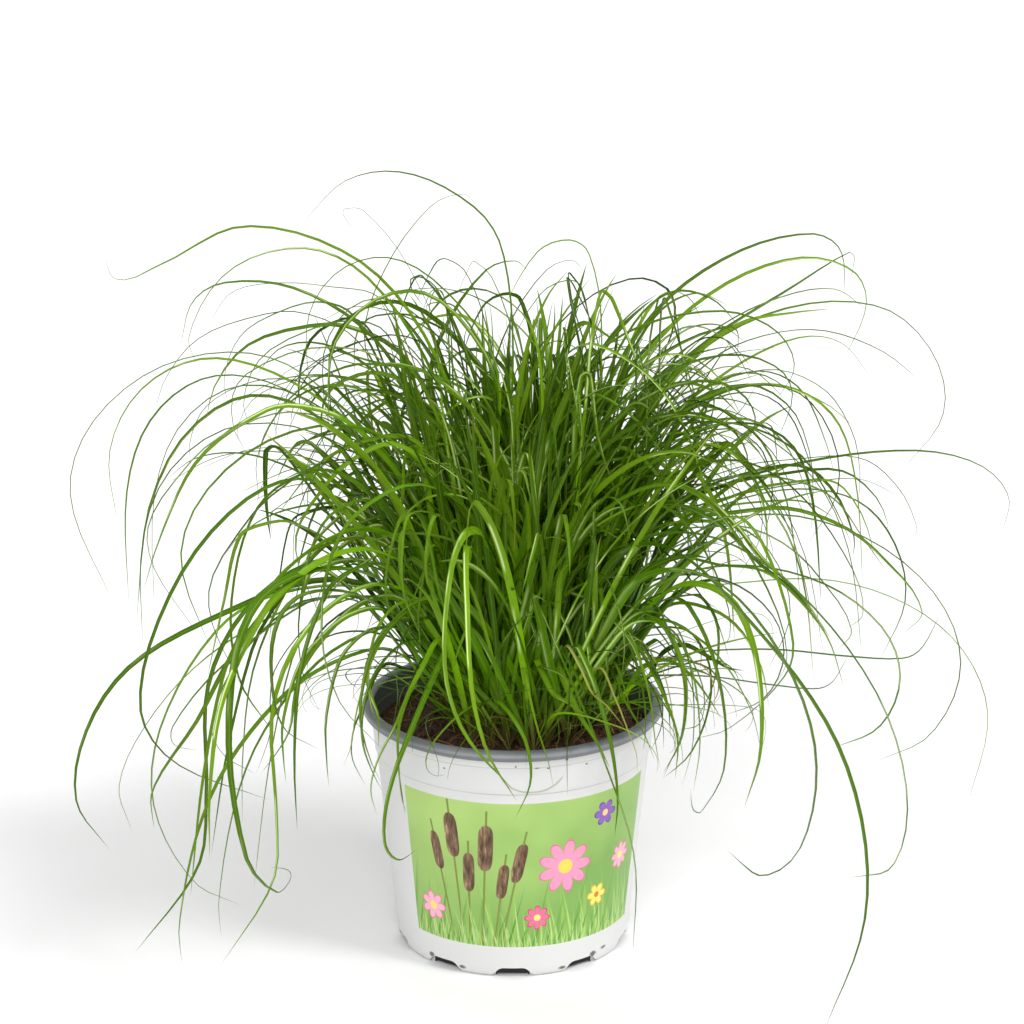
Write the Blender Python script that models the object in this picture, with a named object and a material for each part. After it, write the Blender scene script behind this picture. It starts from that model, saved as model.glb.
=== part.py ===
"""A grassy sedge in a white nursery pot: metres, +Z up, the pot's label towards -Y.

Sizes are named in millimetres, and the meshes are turned into metres as they are finished.
Angles are degrees round the pot's axis: 0 points to +X, 90 to +Y and 270 to the viewer.
"""

import math
import random

import bmesh
import bpy
import numpy as np
from mathutils import Vector
from mathutils.geometry import interpolate_bezier

MM = 0.001
GAP = 0.3

# Pot
POT_HEIGHT = 98.0
LIP_RADIUS = 58.8
LIP_DEPTH = 4.0
FOOT_RADIUS = 45.5
SHOULDER_RADIUS = 55.0
WALL = 1.2
FLOOR_UNDER = 3.5
FLOOR_TOP = 4.9
PAD_RADIUS = 15.0
RECESS_RADIUS = 38.0
RECESS_SLOPE = 1.5
FOOT_ROUND = 2.0
LIP_ROUND = 0.8
STEP_HEIGHTS = (79.5, 91.0)
STEP = 0.5
POT_SIDES = 48
NOTCHES = 10
NOTCH_TOP = 10.0
NOTCH_FOOT = 17.0
NOTCH_HEIGHT = 3.8
NOTCH_FROM = 36.0
NOTCH_DEPTH = 14.0
DRAIN_RADIUS = 3.5
DRAIN_OUT = 27.0
DRAIN_SIDES = 10

# Soil
SOIL_HEIGHT = 88.0
SOIL_LUMP = 1.6
SOIL_RINGS = (12.0, 24.0, 35.0, 45.0)

# Tuft
SHOOTS = 58
BLADES_PER_SHOOT = 3
TUFT_RADIUS = 37.0
TUFT_RIGHT = 4.0
GOLDEN_ANGLE = 137.508
SHEATH_RADIUS = 2.6
SHEATH_TOP_RADIUS = 1.9
SHEATH_HEIGHT = 12.0
SHEATH_LEAN = 3.0

# Blades: RIDGE is the thickness as a share of the half width
BLADE_HALF = 1.5
OTHER_WIDTHS = (0.65, 0.9)
RIDGE = 0.6
BLADE_OFFSET = 1.2
OUTLINE_STATIONS = 8
OTHER_STATIONS = 6
BEND_WEIGHT = 45.0
SIBLING_GAP = 0.1
LEAST_HALF_TURN = 0.35
LEAST_HEIGHT = 4.0

# Placing: each outline blade tries its nearest shoots and these swings about the pot's axis
NEAR_SHOOTS = 9
SWINGS = (0, 1.5, -1.5, 3, -3, 4.5, -4.5, 6, -6, 8, -8)
SPREAD = 166.0
CROWN_MIDDLE = 120.0
CROWN_RISE = 146.0
PLACE_TRIES = 160
SEED = 7

# What the other blades are drawn from, and what those towards the viewer are: these hide the label less
LENGTHS = (165, 280)
FRONT_LENGTHS = (120, 180)
LEANS = (3, 8)
OUTER_LEANS = (5, 20)
DROOPS = (95, 165)
FRONT_DROOPS = (70, 120)
OUTER_DROOP = 15
BENDS = (1.7, 2.6)
SWEEP = 50

# The blades that make the outline. Each has its heading and the distance out from the pot's axis of its
# foot, then the waypoints that it passes through: distance out, height and, where it swings, sideways.
OUTLINE_BLADES = [
    # High on the left
    (176, 12, (13, 180), (46, 262), (97, 284), (118, 278), (137, 267), (150, 263), (155, 275)),
    (170, 14, (17, 178), (38, 242), (65, 271), (84, 274), (106, 267), (120, 252), (127, 234), (122, 224)),
    (165, 18, (29, 185), (51, 235), (84, 256), (109, 258), (123, 254), (132, 242), (134, 229)),
    (186, 24, (25, 156), (44, 192), (81, 233), (108, 240), (133, 235), (155, 219), (168, 190), (153, 142)),
    (172, 26, (33, 170), (59, 204), (82, 221), (115, 231), (145, 217), (159, 188), (156, 161)),
    (160, 28, (37, 171), (68, 200), (88, 212), (118, 218), (144, 206), (163, 176), (166, 115)),
    (196, 12, (6, 228), (21, 256), (36, 272), (51, 277), (68, 272), (79, 254), (77, 216)),
    (186, 8, (11, 187), (22, 231), (43, 279), (54, 292), (63, 293), (57, 283)),
    (184, 30, (32, 180), (49, 220), (56, 241), (52, 260), (42, 280), (31, 293), (19, 298), (12, 292)),
    (130, 14, (8, 170), (0, 225), (8, 279), (41, 294), (78, 295), (114, 282), (133, 265)),
    (150, 5, (6, 218), (11, 244), (19, 264), (30, 270), (38, 262), (44, 249)),
    (195, -16, (-33, 168), (-34, 216), (-34, 259), (-26, 278), (-10, 276), (5, 253)),
    (200, 11, (24, 221), (25, 250), (30, 264), (37, 253)),
    # High on the right
    (20, 16, (35, 183), (31, 237), (22, 265), (31, 252), (36, 226)),
    (350, 30, (49, 174), (53, 221), (56, 261), (65, 233), (75, 207), (82, 198)),
    (10, 16, (29, 201), (48, 242), (67, 262), (87, 273), (110, 279), (126, 273), (129, 253)),
    (20, 18, (35, 195), (55, 229), (76, 247), (101, 259), (126, 262), (147, 255), (154, 239), (143, 216)),
    (26, 20, (37, 190), (80, 227), (116, 243), (143, 256), (155, 258), (153, 245)),
    (14, 24, (38, 188), (65, 226), (97, 245), (133, 249), (158, 240), (175, 213), (171, 192), (157, 178)),
    (348, 8, (6, 199), (21, 228), (44, 248), (70, 257), (93, 256), (107, 240), (99, 223)),
    (38, 28, (53, 177), (83, 200), (115, 214), (147, 220), (172, 214), (190, 196)),
    (2, 28, (40, 183), (63, 212), (93, 224), (116, 217), (129, 198), (136, 141)),
    (348, 30, (41, 178), (60, 204), (84, 215), (109, 202), (127, 177), (136, 126)),
    (335, 28, (44, 173), (68, 198), (92, 206), (115, 197), (135, 174), (142, 155), (134, 146)),
    (6, 34, (49, 161), (80, 182), (110, 190), (157, 194), (179, 189), (194, 175), (192, 158)),
    (30, 36, (57, 154), (95, 164), (133, 165), (163, 163), (185, 152)),
    (35, 36, (66, 147), (111, 159), (150, 157), (182, 143), (200, 119), (204, 96), (190, 72)),
    # Low on the right
    (342, 36, (50, 144), (74, 158), (97, 162), (127, 156), (147, 140), (152, 121), (143, 101), (126, 92)),
    (0, 40, (49, 111), (72, 117), (103, 118), (134, 115), (156, 116), (166, 134)),
    (12, 38, (54, 135), (90, 139), (131, 137), (169, 120), (187, 101), (197, 75), (190, 36)),
    (350, 36, (49, 150), (87, 176), (124, 174), (147, 163), (167, 141), (172, 115), (158, 87), (140, 79)),
    (325, 30, (48, 164), (79, 180), (109, 176), (134, 160), (160, 134), (173, 101), (169, 70), (150, 60)),
    (312, 30, (48, 159), (79, 180), (110, 171), (150, 146), (174, 122), (186, 79), (178, 44), (168, 18)),
    (308, 34, (63, 156), (97, 176), (129, 174), (162, 148), (171, 119), (161, 85), (140, 72), (126, 77)),
    (322, 38, (60, 143), (78, 155), (92, 139), (101, 105), (94, 78), (87, 73), (85, 82)),
    (316, 37, (65, 146), (89, 166), (113, 162), (125, 130), (123, 97), (118, 86)),
    # Low on the left
    (215, 34, (53, 128), (70, 131), (95, 126), (121, 107), (138, 85), (146, 56), (152, 34), (150, 25)),
    (205, 36, (48, 146), (72, 165), (96, 160), (118, 140), (128, 106), (128, 58), (151, 29), (158, 20)),
    (222, 32, (57, 156), (90, 171), (122, 167), (136, 136), (136, 85), (121, 52), (111, 56), (121, 62)),
    (198, 38, (46, 143), (77, 151), (108, 146), (132, 117), (144, 86), (138, 53), (121, 29), (110, 25)),
    (200, 26, (34, 159), (61, 185), (85, 196), (108, 188), (129, 168), (148, 117), (136, 90), (99, 69)),
    (190, 38, (48, 142), (75, 151), (106, 142), (136, 129), (158, 110), (170, 80), (169, 61), (158, 45)),
    (180, 38, (48, 135), (71, 139), (102, 126), (130, 104), (148, 79), (156, 58), (151, 39)),
    (212, 36, (51, 140), (81, 155), (106, 146), (139, 126), (147, 111), (136, 105)),
    (225, 38, (60, 145), (90, 164), (116, 163), (123, 138), (117, 117), (101, 105)),
    (238, 36, (38, 134), (56, 127), (73, 105), (86, 90), (90, 71), (80, 59), (68, 59)),
    (232, 38, (51, 129), (63, 120), (70, 103), (66, 70)),
    # In front of the pot
    (270, 22, (25, 131, -8), (45, 166, -9), (75, 190, -12), (108, 192, -21), (135, 149, -22), (110, 105, 0)),
    (270, 25, (25, 131, -2), (35, 159, 2), (62, 139, 17), (88, 110, 32), (100, 74, 44), (100, 35, 44)),
    (300, 38, (42, 129), (50, 134), (70, 110), (78, 85), (76, 67)),
    (316, 38, (54, 133), (62, 127), (76, 102), (76, 82)),
    (270, 38, (42, 113, -5), (62, 115, -1), (70, 100, 7), (72, 87, 5), (68, 76, 1)),
]


def clear_scene():
    """Empties the scene that the script is run in."""
    for thing in list(bpy.data.objects):
        bpy.data.objects.remove(thing, do_unlink=True)


def material(name, colour, roughness):
    """Makes a plain Principled material."""
    made = bpy.data.materials.new(name)
    made.use_nodes = True
    shader = made.node_tree.nodes["Principled BSDF"]
    shader.inputs["Base Color"].default_value = (*colour, 1.0)
    shader.inputs["Roughness"].default_value = roughness
    shader.inputs["Metallic"].default_value = 0.0
    made.diffuse_color = (*colour, 1.0)
    return made


def finish(bm, name, look):
    """Turns a bmesh in millimetres into an object in metres."""
    bmesh.ops.recalc_face_normals(bm, faces=bm.faces)
    bmesh.ops.scale(bm, vec=(MM, MM, MM), verts=bm.verts)
    mesh = bpy.data.meshes.new(name)
    bm.to_mesh(mesh)
    bm.free()
    mesh.materials.append(look)
    made = bpy.data.objects.new(name, mesh)
    bpy.context.scene.collection.objects.link(made)
    return made


def compass(angle):
    """The level unit vector that points along an angle round the pot's axis."""
    return Vector((math.cos(math.radians(angle)), math.sin(math.radians(angle)), 0.0))


def turned(outline, sides):
    """Spins an outline of (radius, height) points that starts and ends on the axis."""
    bm = bmesh.new()
    points = [bm.verts.new((radius, 0.0, height)) for radius, height in outline]
    chain = [bm.edges.new(pair) for pair in zip(points, points[1:])]
    around = {"axis": (0, 0, 1), "angle": 2 * math.pi, "steps": sides, "use_merge": True}
    bmesh.ops.spin(bm, geom=points + chain, **around)
    bmesh.ops.remove_doubles(bm, verts=bm.verts, dist=0.001)
    return bm


def wall_radius(height):
    """The pot's outer radius at a height, steps and lip aside."""
    return FOOT_RADIUS + (SHOULDER_RADIUS - FOOT_RADIUS) * height / (POT_HEIGHT - LIP_DEPTH)


def pot_outline():
    """The pot's section from the middle of its underside, over the lip, to the middle of its floor."""
    pad = [(0.0, 0.0), (PAD_RADIUS, 0.0), (PAD_RADIUS + RECESS_SLOPE, FLOOR_UNDER)]
    recess = [(RECESS_RADIUS, FLOOR_UNDER), (RECESS_RADIUS + RECESS_SLOPE, 0.0)]
    corner = [(FOOT_RADIUS - FOOT_ROUND, 0.0), (wall_radius(FOOT_ROUND), FOOT_ROUND)]
    steps = []
    for count, height in enumerate(STEP_HEIGHTS):
        steps.append((wall_radius(height) + count * STEP, height))
        steps.append((wall_radius(height) + (count + 1) * STEP, height + STEP))
    lip_foot = POT_HEIGHT - LIP_DEPTH
    shoulder = wall_radius(lip_foot)
    lip = [
        (shoulder + 2 * STEP, lip_foot),
        (LIP_RADIUS, lip_foot + LIP_ROUND / 2),
        (LIP_RADIUS, POT_HEIGHT - LIP_ROUND),
        (LIP_RADIUS - LIP_ROUND, POT_HEIGHT),
        (wall_radius(POT_HEIGHT) - WALL + LIP_ROUND, POT_HEIGHT),
        (wall_radius(POT_HEIGHT - LIP_ROUND) - WALL, POT_HEIGHT - LIP_ROUND),
    ]
    inside = [(wall_radius(FLOOR_TOP) - WALL, FLOOR_TOP), (0.0, FLOOR_TOP)]
    return pad + recess + corner + steps + lip + inside


def add_notch(bm, angle):
    """Adds a cutter for one notch: a block with sloping sides across the pot's foot."""
    slope = (NOTCH_FOOT - NOTCH_TOP) / 2 / NOTCH_HEIGHT
    below = 1.0
    half_foot = NOTCH_FOOT / 2 + slope * below
    half_top = NOTCH_TOP / 2
    top = NOTCH_HEIGHT
    section = [(-half_foot, -below), (half_foot, -below), (half_top, top), (-half_top, top)]
    out = compass(angle)
    along = compass(angle + 90)
    near = out * NOTCH_FROM
    corners = [bm.verts.new(near + along * side + Vector((0, 0, height))) for side, height in section]
    face = bm.faces.new(corners)
    grown = bmesh.ops.extrude_face_region(bm, geom=[face])["geom"]
    far = [part for part in grown if isinstance(part, bmesh.types.BMVert)]
    bmesh.ops.translate(bm, vec=out * NOTCH_DEPTH, verts=far)


def add_drain(bm, angle):
    """Adds a cutter for one round drainage hole in the pot's floor."""
    size = {"radius1": DRAIN_RADIUS, "radius2": DRAIN_RADIUS, "depth": 2 * FLOOR_UNDER}
    disc = bmesh.ops.create_cone(bm, cap_ends=True, segments=DRAIN_SIDES, **size)
    middle = compass(angle) * DRAIN_OUT + Vector((0, 0, (FLOOR_UNDER + FLOOR_TOP) / 2))
    bmesh.ops.translate(bm, vec=middle, verts=disc["verts"])


def make_pot(look):
    """The pot: turned wall and lip, with notches cut through its foot and holes through its floor."""
    pot = finish(turned(pot_outline(), POT_SIDES), "pot", look)
    bm = bmesh.new()
    pitch = 360.0 / NOTCHES
    for count in range(NOTCHES):
        add_notch(bm, 270 + count * pitch)
        add_drain(bm, 270 + (count + 0.5) * pitch)
    cutter = finish(bm, "pot_cutter", look)
    cutter.hide_render = True
    cutter.display_type = "WIRE"
    cut = pot.modifiers.new("notches_and_drains", "BOOLEAN")
    cut.operation = "DIFFERENCE"
    cut.object = cutter
    return pot


def make_soil(look):
    """The root ball: it fills the pot and has a lumpy top."""
    rng = random.Random(SEED)
    foot = FLOOR_TOP + GAP
    inset = WALL + GAP
    side = [(wall_radius(foot) - inset, foot), (wall_radius(SOIL_HEIGHT) - inset, SOIL_HEIGHT)]
    top = [(radius, SOIL_HEIGHT) for radius in reversed(SOIL_RINGS)]
    outline = [(0.0, foot)] + side + top + [(0.0, SOIL_HEIGHT)]
    bm = turned(outline, POT_SIDES)
    for vertex in bm.verts:
        if vertex.co.z == SOIL_HEIGHT and vertex.co.xy.length < SOIL_RINGS[-1] + 1:
            vertex.co.z -= rng.uniform(0.0, SOIL_LUMP)
    return finish(bm, "potting_soil", look)


def smooth_path(knots):
    """Points of a smooth line through the knots, each span a Bezier curve led by its neighbours."""
    points = []
    for index in range(len(knots) - 1):
        here, there = knots[index], knots[index + 1]
        before = knots[max(index - 1, 0)]
        after = knots[min(index + 2, len(knots) - 1)]
        reach = (there - here).length / 3
        leave = here + (there - before).normalized() * reach
        arrive = there - (after - here).normalized() * reach
        points += interpolate_bezier(here, leave, arrive, there, 13)[:-1]
    return np.array(points + [knots[-1]])


def waypoint_path(start, heading, waypoints, swing):
    """The path of an outline blade, its heading swung a little about the pot's axis."""
    out, aside = compass(heading + swing), compass(heading + swing + 90)
    knots = [start, start + Vector((0, 0, 6)) + out * 0.8]
    for distance, height, *sideways in waypoints:
        swerve = aside * sideways[0] if sideways else Vector()
        knots.append(out * distance + swerve + Vector((0, 0, height)))
    return smooth_path(knots)


def arching_path(start, heading, sweep, length, lean, droop, bend):
    """The path of a blade that bends over from one angle to another, and sweeps round as it goes."""
    steps = 48
    along = (np.arange(steps) + 0.5) / steps
    tilt = np.radians(lean + (droop - lean) * along**bend)
    turn = np.radians(heading + sweep * along**1.5)
    ways = np.stack([np.sin(tilt) * np.cos(turn), np.sin(tilt) * np.sin(turn), np.cos(tilt)], axis=1)
    return np.vstack([start, np.array(start) + np.cumsum(ways, axis=0) * length / steps])


def stations(path, count):
    """Spaces points along a path, closer together where it bends: their places and shares of its length."""
    runs = np.diff(path, axis=0)
    lengths = np.linalg.norm(runs, axis=1)
    ways = runs / lengths[:, None]
    turns = np.arccos(np.clip(np.sum(ways[1:] * ways[:-1], axis=1), -1, 1))
    along = np.concatenate([[0], np.cumsum(lengths)])
    weight = np.concatenate([[0], np.cumsum(lengths + BEND_WEIGHT * np.concatenate([[0], turns]))])
    marks = np.interp(np.linspace(0, weight[-1], count + 1), weight, along)
    places = np.stack([np.interp(marks, along, path[:, axis]) for axis in range(3)], axis=1)
    return places, marks / along[-1]


def half_width(share, widest):
    """Half a blade's width at a share of its length: narrow in the sheath, and tapering to its tip."""
    return widest * np.minimum(1.0, 0.55 + 1.3 * share) * (1.0 - share**1.8)


def segment_gaps(starts, ends, others, other_ends):
    """The least distance of each of some segments to each of some others."""
    one = (ends - starts)[:, None]
    two = (other_ends - others)[None]
    apart = starts[:, None] - others[None]
    one_one = np.sum(one * one, axis=2)
    two_two = np.sum(two * two, axis=2)
    one_two = np.sum(one * two, axis=2)
    one_apart = np.sum(one * apart, axis=2)
    two_apart = np.sum(two * apart, axis=2)
    spread = np.maximum(one_one * two_two - one_two**2, 1e-9)
    share = np.clip((one_two * two_apart - one_apart * two_two) / spread, 0, 1)
    other_share = np.clip((one_two * share + two_apart) / two_two, 0, 1)
    share = np.clip((one_two * other_share - one_apart) / one_one, 0, 1)
    return np.linalg.norm(apart + one * share[..., None] - two * other_share[..., None], axis=2)


class Room:
    """Keeps the segments of the blades that are placed, and tells where a new one has room."""

    def __init__(self):
        self.starts = np.zeros((0, 3))
        self.ends = np.zeros((0, 3))
        self.halves = np.zeros(0)
        self.owners = np.zeros(0, int)
        self.lowest = np.zeros(0, bool)

    def has_room(self, owner, places, halves):
        """Whether a blade keeps off all that are placed. Two that leave one sheath may start together."""
        if not clears_pot(places, halves):
            return False
        reach = segment_halves(halves)
        gaps = segment_gaps(places[:-1], places[1:], self.starts, self.ends)
        siblings = self.owners == owner
        wanted = reach[:, None] + self.halves[None] + np.where(siblings, SIBLING_GAP, GAP)[None]
        wanted[0, siblings & self.lowest] = 0.0
        return bool(np.all(gaps >= wanted))

    def take(self, owner, places, halves):
        """Adds a blade or a sheath."""
        count = len(places) - 1
        self.starts = np.vstack([self.starts, places[:-1]])
        self.ends = np.vstack([self.ends, places[1:]])
        self.halves = np.concatenate([self.halves, segment_halves(halves)])
        self.owners = np.concatenate([self.owners, np.full(count, owner)])
        self.lowest = np.concatenate([self.lowest, np.arange(count) == 0])


def segment_halves(halves):
    """The half width that each of a blade's segments needs: the lowest one as wide as its wedge."""
    wide = np.maximum(halves[:-1], halves[1:])
    wide[0] = max(wide[0], 0.8 * SHEATH_TOP_RADIUS)
    return wide


def clears_pot(places, halves):
    """Whether a blade keeps off the floor, the soil and the pot's wall."""
    share = np.linspace(0, 1, 12)[None, :, None]
    line = (places[:-1, None] * (1 - share) + places[1:, None] * share).reshape(-1, 3)
    radius = np.hypot(line[:, 0], line[:, 1])
    margin = GAP + halves.max()
    low = line[:, 2] < POT_HEIGHT + margin
    inside = radius < wall_radius(SOIL_HEIGHT) - WALL - margin
    outside = radius > LIP_RADIUS + margin
    in_soil = (line[:, 2] < SOIL_HEIGHT + GAP) & (radius < LIP_RADIUS)
    crosses = np.any(low & ~inside & ~outside) or np.any(in_soil)
    return line[:, 2].min() > LEAST_HEIGHT and not crosses


def turn_between(one, other):
    """The angle from one heading to another, between -180 and 180 degrees."""
    return (other - one + 180) % 360 - 180


class Blade:
    """One blade of a shoot: its stations and its half widths there."""

    def __init__(self, path, widest, count):
        self.places, shares = stations(path, count)
        self.halves = half_width(shares, widest)

    def leaves(self, shoot):
        """The heading along which it leaves its shoot, and how far out it is at its first station."""
        away = self.places[1] - np.array(shoot.top)
        return math.degrees(math.atan2(away[1], away[0])) % 360, math.hypot(away[0], away[1])


class Shoot:
    """One shoot of the tuft: where it stands and the blades that grow out of it."""

    def __init__(self, index):
        self.index = index
        self.out = TUFT_RADIUS * math.sqrt((index + 0.5) / SHOOTS)
        self.angle = (index * GOLDEN_ANGLE) % 360.0
        self.foot = compass(self.angle) * self.out + Vector((TUFT_RIGHT, 0, SOIL_HEIGHT + GAP))
        lean = compass(self.angle) * SHEATH_LEAN * self.out / TUFT_RADIUS
        self.top = self.foot + lean + Vector((0, 0, SHEATH_HEIGHT))
        self.blades = []

    def fans_out(self, blade):
        """Whether a blade leaves the sheath clear of the others, each in a wedge of its own."""
        heading, out = blade.leaves(self)
        for other in self.blades:
            other_heading, other_out = other.leaves(self)
            half_turn = math.radians(abs(turn_between(heading, other_heading)) / 2)
            clear = out * math.sin(half_turn) > blade.halves[1] + SIBLING_GAP
            other_clear = other_out * math.sin(half_turn) > other.halves[1] + SIBLING_GAP
            if not clear or not other_clear or half_turn < LEAST_HALF_TURN:
                return False
        return True

    def try_blade(self, room, blade):
        """Adds a blade if it has room."""
        fits = self.fans_out(blade) and room.has_room(self.index, blade.places, blade.halves)
        if fits:
            room.take(self.index, blade.places, blade.halves)
            self.blades.append(blade)
        return fits

    def headings(self):
        """Where its blades leave it, in order round it."""
        return sorted(blade.leaves(self)[0] for blade in self.blades)


def gaps_after(headings):
    """The angle from each of some sorted headings to the next one round."""
    return [(after - heading) % 360 or 360 for heading, after in zip(headings, headings[1:] + headings[:1])]


def middle_of_widest_gap(headings):
    """The heading furthest from the given ones."""
    gaps = gaps_after(headings)
    widest = max(range(len(gaps)), key=gaps.__getitem__)
    return (headings[widest] + gaps[widest] / 2) % 360


def place_outline_blades(shoots, room):
    """Grows the outline blades, each from a near shoot and swung by little, so that it has room."""
    for heading, foot_out, *waypoints in OUTLINE_BLADES:
        wanted = compass(heading) * foot_out
        nearest = sorted(shoots, key=lambda shoot: (shoot.foot.xy - wanted.xy).length)[:NEAR_SHOOTS]
        for swing, shoot in ((swing, shoot) for swing in SWINGS for shoot in nearest):
            start = shoot.top + compass(heading) * BLADE_OFFSET
            path = waypoint_path(start, heading, waypoints, swing)
            blade = Blade(path, BLADE_HALF, OUTLINE_STATIONS)
            if len(shoot.blades) < BLADES_PER_SHOOT - 1 and shoot.try_blade(room, blade):
                break


def draw_path(shoot, heading, rng, shorter):
    """Draws the path of one of the tuft's other blades: steep where it heads over the middle."""
    outward = math.cos(math.radians(heading - shoot.angle)) * shoot.out / TUFT_RADIUS
    length = rng.uniform(*LENGTHS) * shorter
    lean = rng.uniform(*LEANS)
    droop = rng.uniform(*DROOPS)
    bend = rng.uniform(*BENDS) - 0.5 * outward
    if outward > 0.4:
        lean += rng.uniform(*OUTER_LEANS)
        droop += OUTER_DROOP
    if math.cos(math.radians(heading - 270)) > 0.5:
        length = rng.uniform(*FRONT_LENGTHS) * shorter
        droop = rng.uniform(*FRONT_DROOPS)
    start = shoot.top + compass(heading) * BLADE_OFFSET
    return arching_path(start, heading, rng.uniform(-SWEEP, SWEEP), length, lean, droop, bend)


def in_crown(path):
    """Whether a path stays inside the round crown that the tuft fills."""
    out = np.hypot(path[:, 0], path[:, 1]) / SPREAD
    up = np.maximum(path[:, 2] - CROWN_MIDDLE, 0.0) / CROWN_RISE
    return np.max(out**2 + up**2) < 1


def place_other_blade(shoot, room, rng):
    """Draws one more blade for a shoot, again and again until it has room."""
    headings = shoot.headings()
    wanted = middle_of_widest_gap(headings) if headings else shoot.angle + rng.uniform(-40, 40)
    for attempt in range(PLACE_TRIES):
        heading = wanted + rng.uniform(-1, 1) * min(80, 10 + attempt)
        path = draw_path(shoot, heading, rng, 1.0 - 0.8 * attempt / PLACE_TRIES)
        blade = Blade(path, BLADE_HALF * rng.uniform(*OTHER_WIDTHS), OTHER_STATIONS)
        if in_crown(path) and shoot.try_blade(room, blade):
            return


def place_other_blades(shoots, room, rng):
    """Fills the shoots up with blades drawn at random: the first where there is none, then the others."""
    for wanted in range(1, BLADES_PER_SHOOT + 1):
        for shoot in shoots:
            if len(shoot.blades) < wanted:
                place_other_blade(shoot, room, rng)


def grow_blade(bm, face, shoot, blade):
    """Draws one wedge of the sheath's top out along its blade, untwisted, and closes it in a point."""
    across = compass(blade.leaves(shoot)[0] + 90)
    order = sorted(face.verts, key=lambda vertex: (vertex.co - shoot.top).dot(across))
    corners = [list(face.verts).index(vertex) for vertex in order]
    side = (order[-1].co - order[0].co).normalized()
    before = Vector(blade.places[1] - blade.places[0])
    for index in range(1, len(blade.places) - 1):
        tangent = Vector(blade.places[index + 1] - blade.places[index - 1]).normalized()
        side.rotate(before.rotation_difference(tangent))
        side = (side - tangent * side.dot(tangent)).normalized()
        before = tangent
        lift = tangent.cross(side)
        half = blade.halves[index]
        middle = Vector(blade.places[index])
        face = bmesh.ops.extrude_discrete_faces(bm, faces=[face])["faces"][0]
        targets = [middle - side * half, middle + lift * half * RIDGE, middle + side * half]
        for corner, target in zip(corners, targets):
            face.verts[corner].co = target
    tip = bmesh.ops.extrude_discrete_faces(bm, faces=[face])["faces"][0]
    bmesh.ops.pointmerge(bm, verts=tip.verts, merge_co=Vector(blade.places[-1]))


def make_shoot(shoot, look):
    """One shoot: a sheath whose top is split into wedges, one drawn out into each blade."""
    headings = shoot.headings()
    while len(headings) < 3:
        headings = sorted(headings + [middle_of_widest_gap(headings)])
    seams = [heading + gap / 2 for heading, gap in zip(headings, gaps_after(headings))]
    bm = bmesh.new()
    centre = bm.verts.new(shoot.foot)
    rim = [bm.verts.new(shoot.foot + compass(seam) * SHEATH_RADIUS) for seam in seams]
    wedges = [bm.faces.new((centre, rim[index - 1], rim[index])) for index in range(len(rim))]
    grown = bmesh.ops.extrude_face_region(bm, geom=wedges)["geom"]
    raised = [part for part in grown if isinstance(part, bmesh.types.BMVert)]
    tops = [part for part in grown if isinstance(part, bmesh.types.BMFace)]
    for vertex in raised:
        vertex.co = shoot.top + (vertex.co - shoot.foot) * SHEATH_TOP_RADIUS / SHEATH_RADIUS
    for blade in shoot.blades:
        ahead = shoot.top + compass(blade.leaves(shoot)[0])
        face = min(tops, key=lambda top: (top.calc_center_median() - ahead).length)
        tops.remove(face)
        grow_blade(bm, face, shoot, blade)
    return finish(bm, f"shoot_{shoot.index + 1:02d}", look)


def grow_tuft():
    """Places every blade of the tuft, the outline blades first."""
    rng = random.Random(SEED)
    shoots = [Shoot(index) for index in range(SHOOTS)]
    room = Room()
    for shoot in shoots:
        ends = np.array([shoot.foot, shoot.top])
        room.take(shoot.index, ends, np.full(2, SHEATH_RADIUS))
    place_outline_blades(shoots, room)
    place_other_blades(shoots, room, rng)
    return shoots


def main():
    """Makes the pot, the soil and the tuft."""
    clear_scene()
    make_pot(material("white_plastic", (0.86, 0.85, 0.82), 0.45))
    make_soil(material("peat", (0.055, 0.036, 0.025), 0.95))
    green = material("sedge_green", (0.16, 0.27, 0.06), 0.45)
    shoots = grow_tuft()
    for shoot in shoots:
        make_shoot(shoot, green)


if __name__ == "__main__":
    main()
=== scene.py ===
"""A grassy sedge in a printed nursery pot: its finished look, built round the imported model.

Metres, +Z up, the label towards -Y. MM turns millimetres into metres. Angles round the pot's axis are
degrees: 0 points to +X, 90 to +Y and 270 to the camera.
"""

import math
import random

import bmesh
import bpy
import numpy as np
from bpy.props import FloatProperty, FloatVectorProperty, IntProperty, PointerProperty
from mathutils import Matrix, Vector, noise
from mathutils.geometry import interpolate_bezier


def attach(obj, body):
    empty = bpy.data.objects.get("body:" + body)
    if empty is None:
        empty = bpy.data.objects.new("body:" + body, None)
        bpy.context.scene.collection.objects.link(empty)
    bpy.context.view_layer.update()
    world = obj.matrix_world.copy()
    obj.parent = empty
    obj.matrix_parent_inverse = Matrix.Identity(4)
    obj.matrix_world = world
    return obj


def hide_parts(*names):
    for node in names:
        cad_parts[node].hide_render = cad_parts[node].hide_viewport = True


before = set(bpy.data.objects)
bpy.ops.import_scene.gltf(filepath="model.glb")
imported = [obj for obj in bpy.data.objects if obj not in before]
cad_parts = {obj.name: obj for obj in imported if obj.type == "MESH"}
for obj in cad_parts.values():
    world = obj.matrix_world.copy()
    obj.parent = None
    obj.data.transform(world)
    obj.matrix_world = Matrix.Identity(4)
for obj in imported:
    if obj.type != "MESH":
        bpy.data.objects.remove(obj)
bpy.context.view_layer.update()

MM = 0.001
SEED = 11
CAMERA_HEADING = 270.0

# Points whose heights differ by less than this are level with each other
FLAT = 1e-5

bl_info = {
    "name": "Potted sedge",
    "version": (1, 0, 0),
    "blender": (4, 5, 0),
    "location": "3D View > Sidebar > Sedge",
    "description": "Builds a tuft of sedge in a printed nursery pot, with its soil and its studio",
    "category": "Add Mesh",
}

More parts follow.
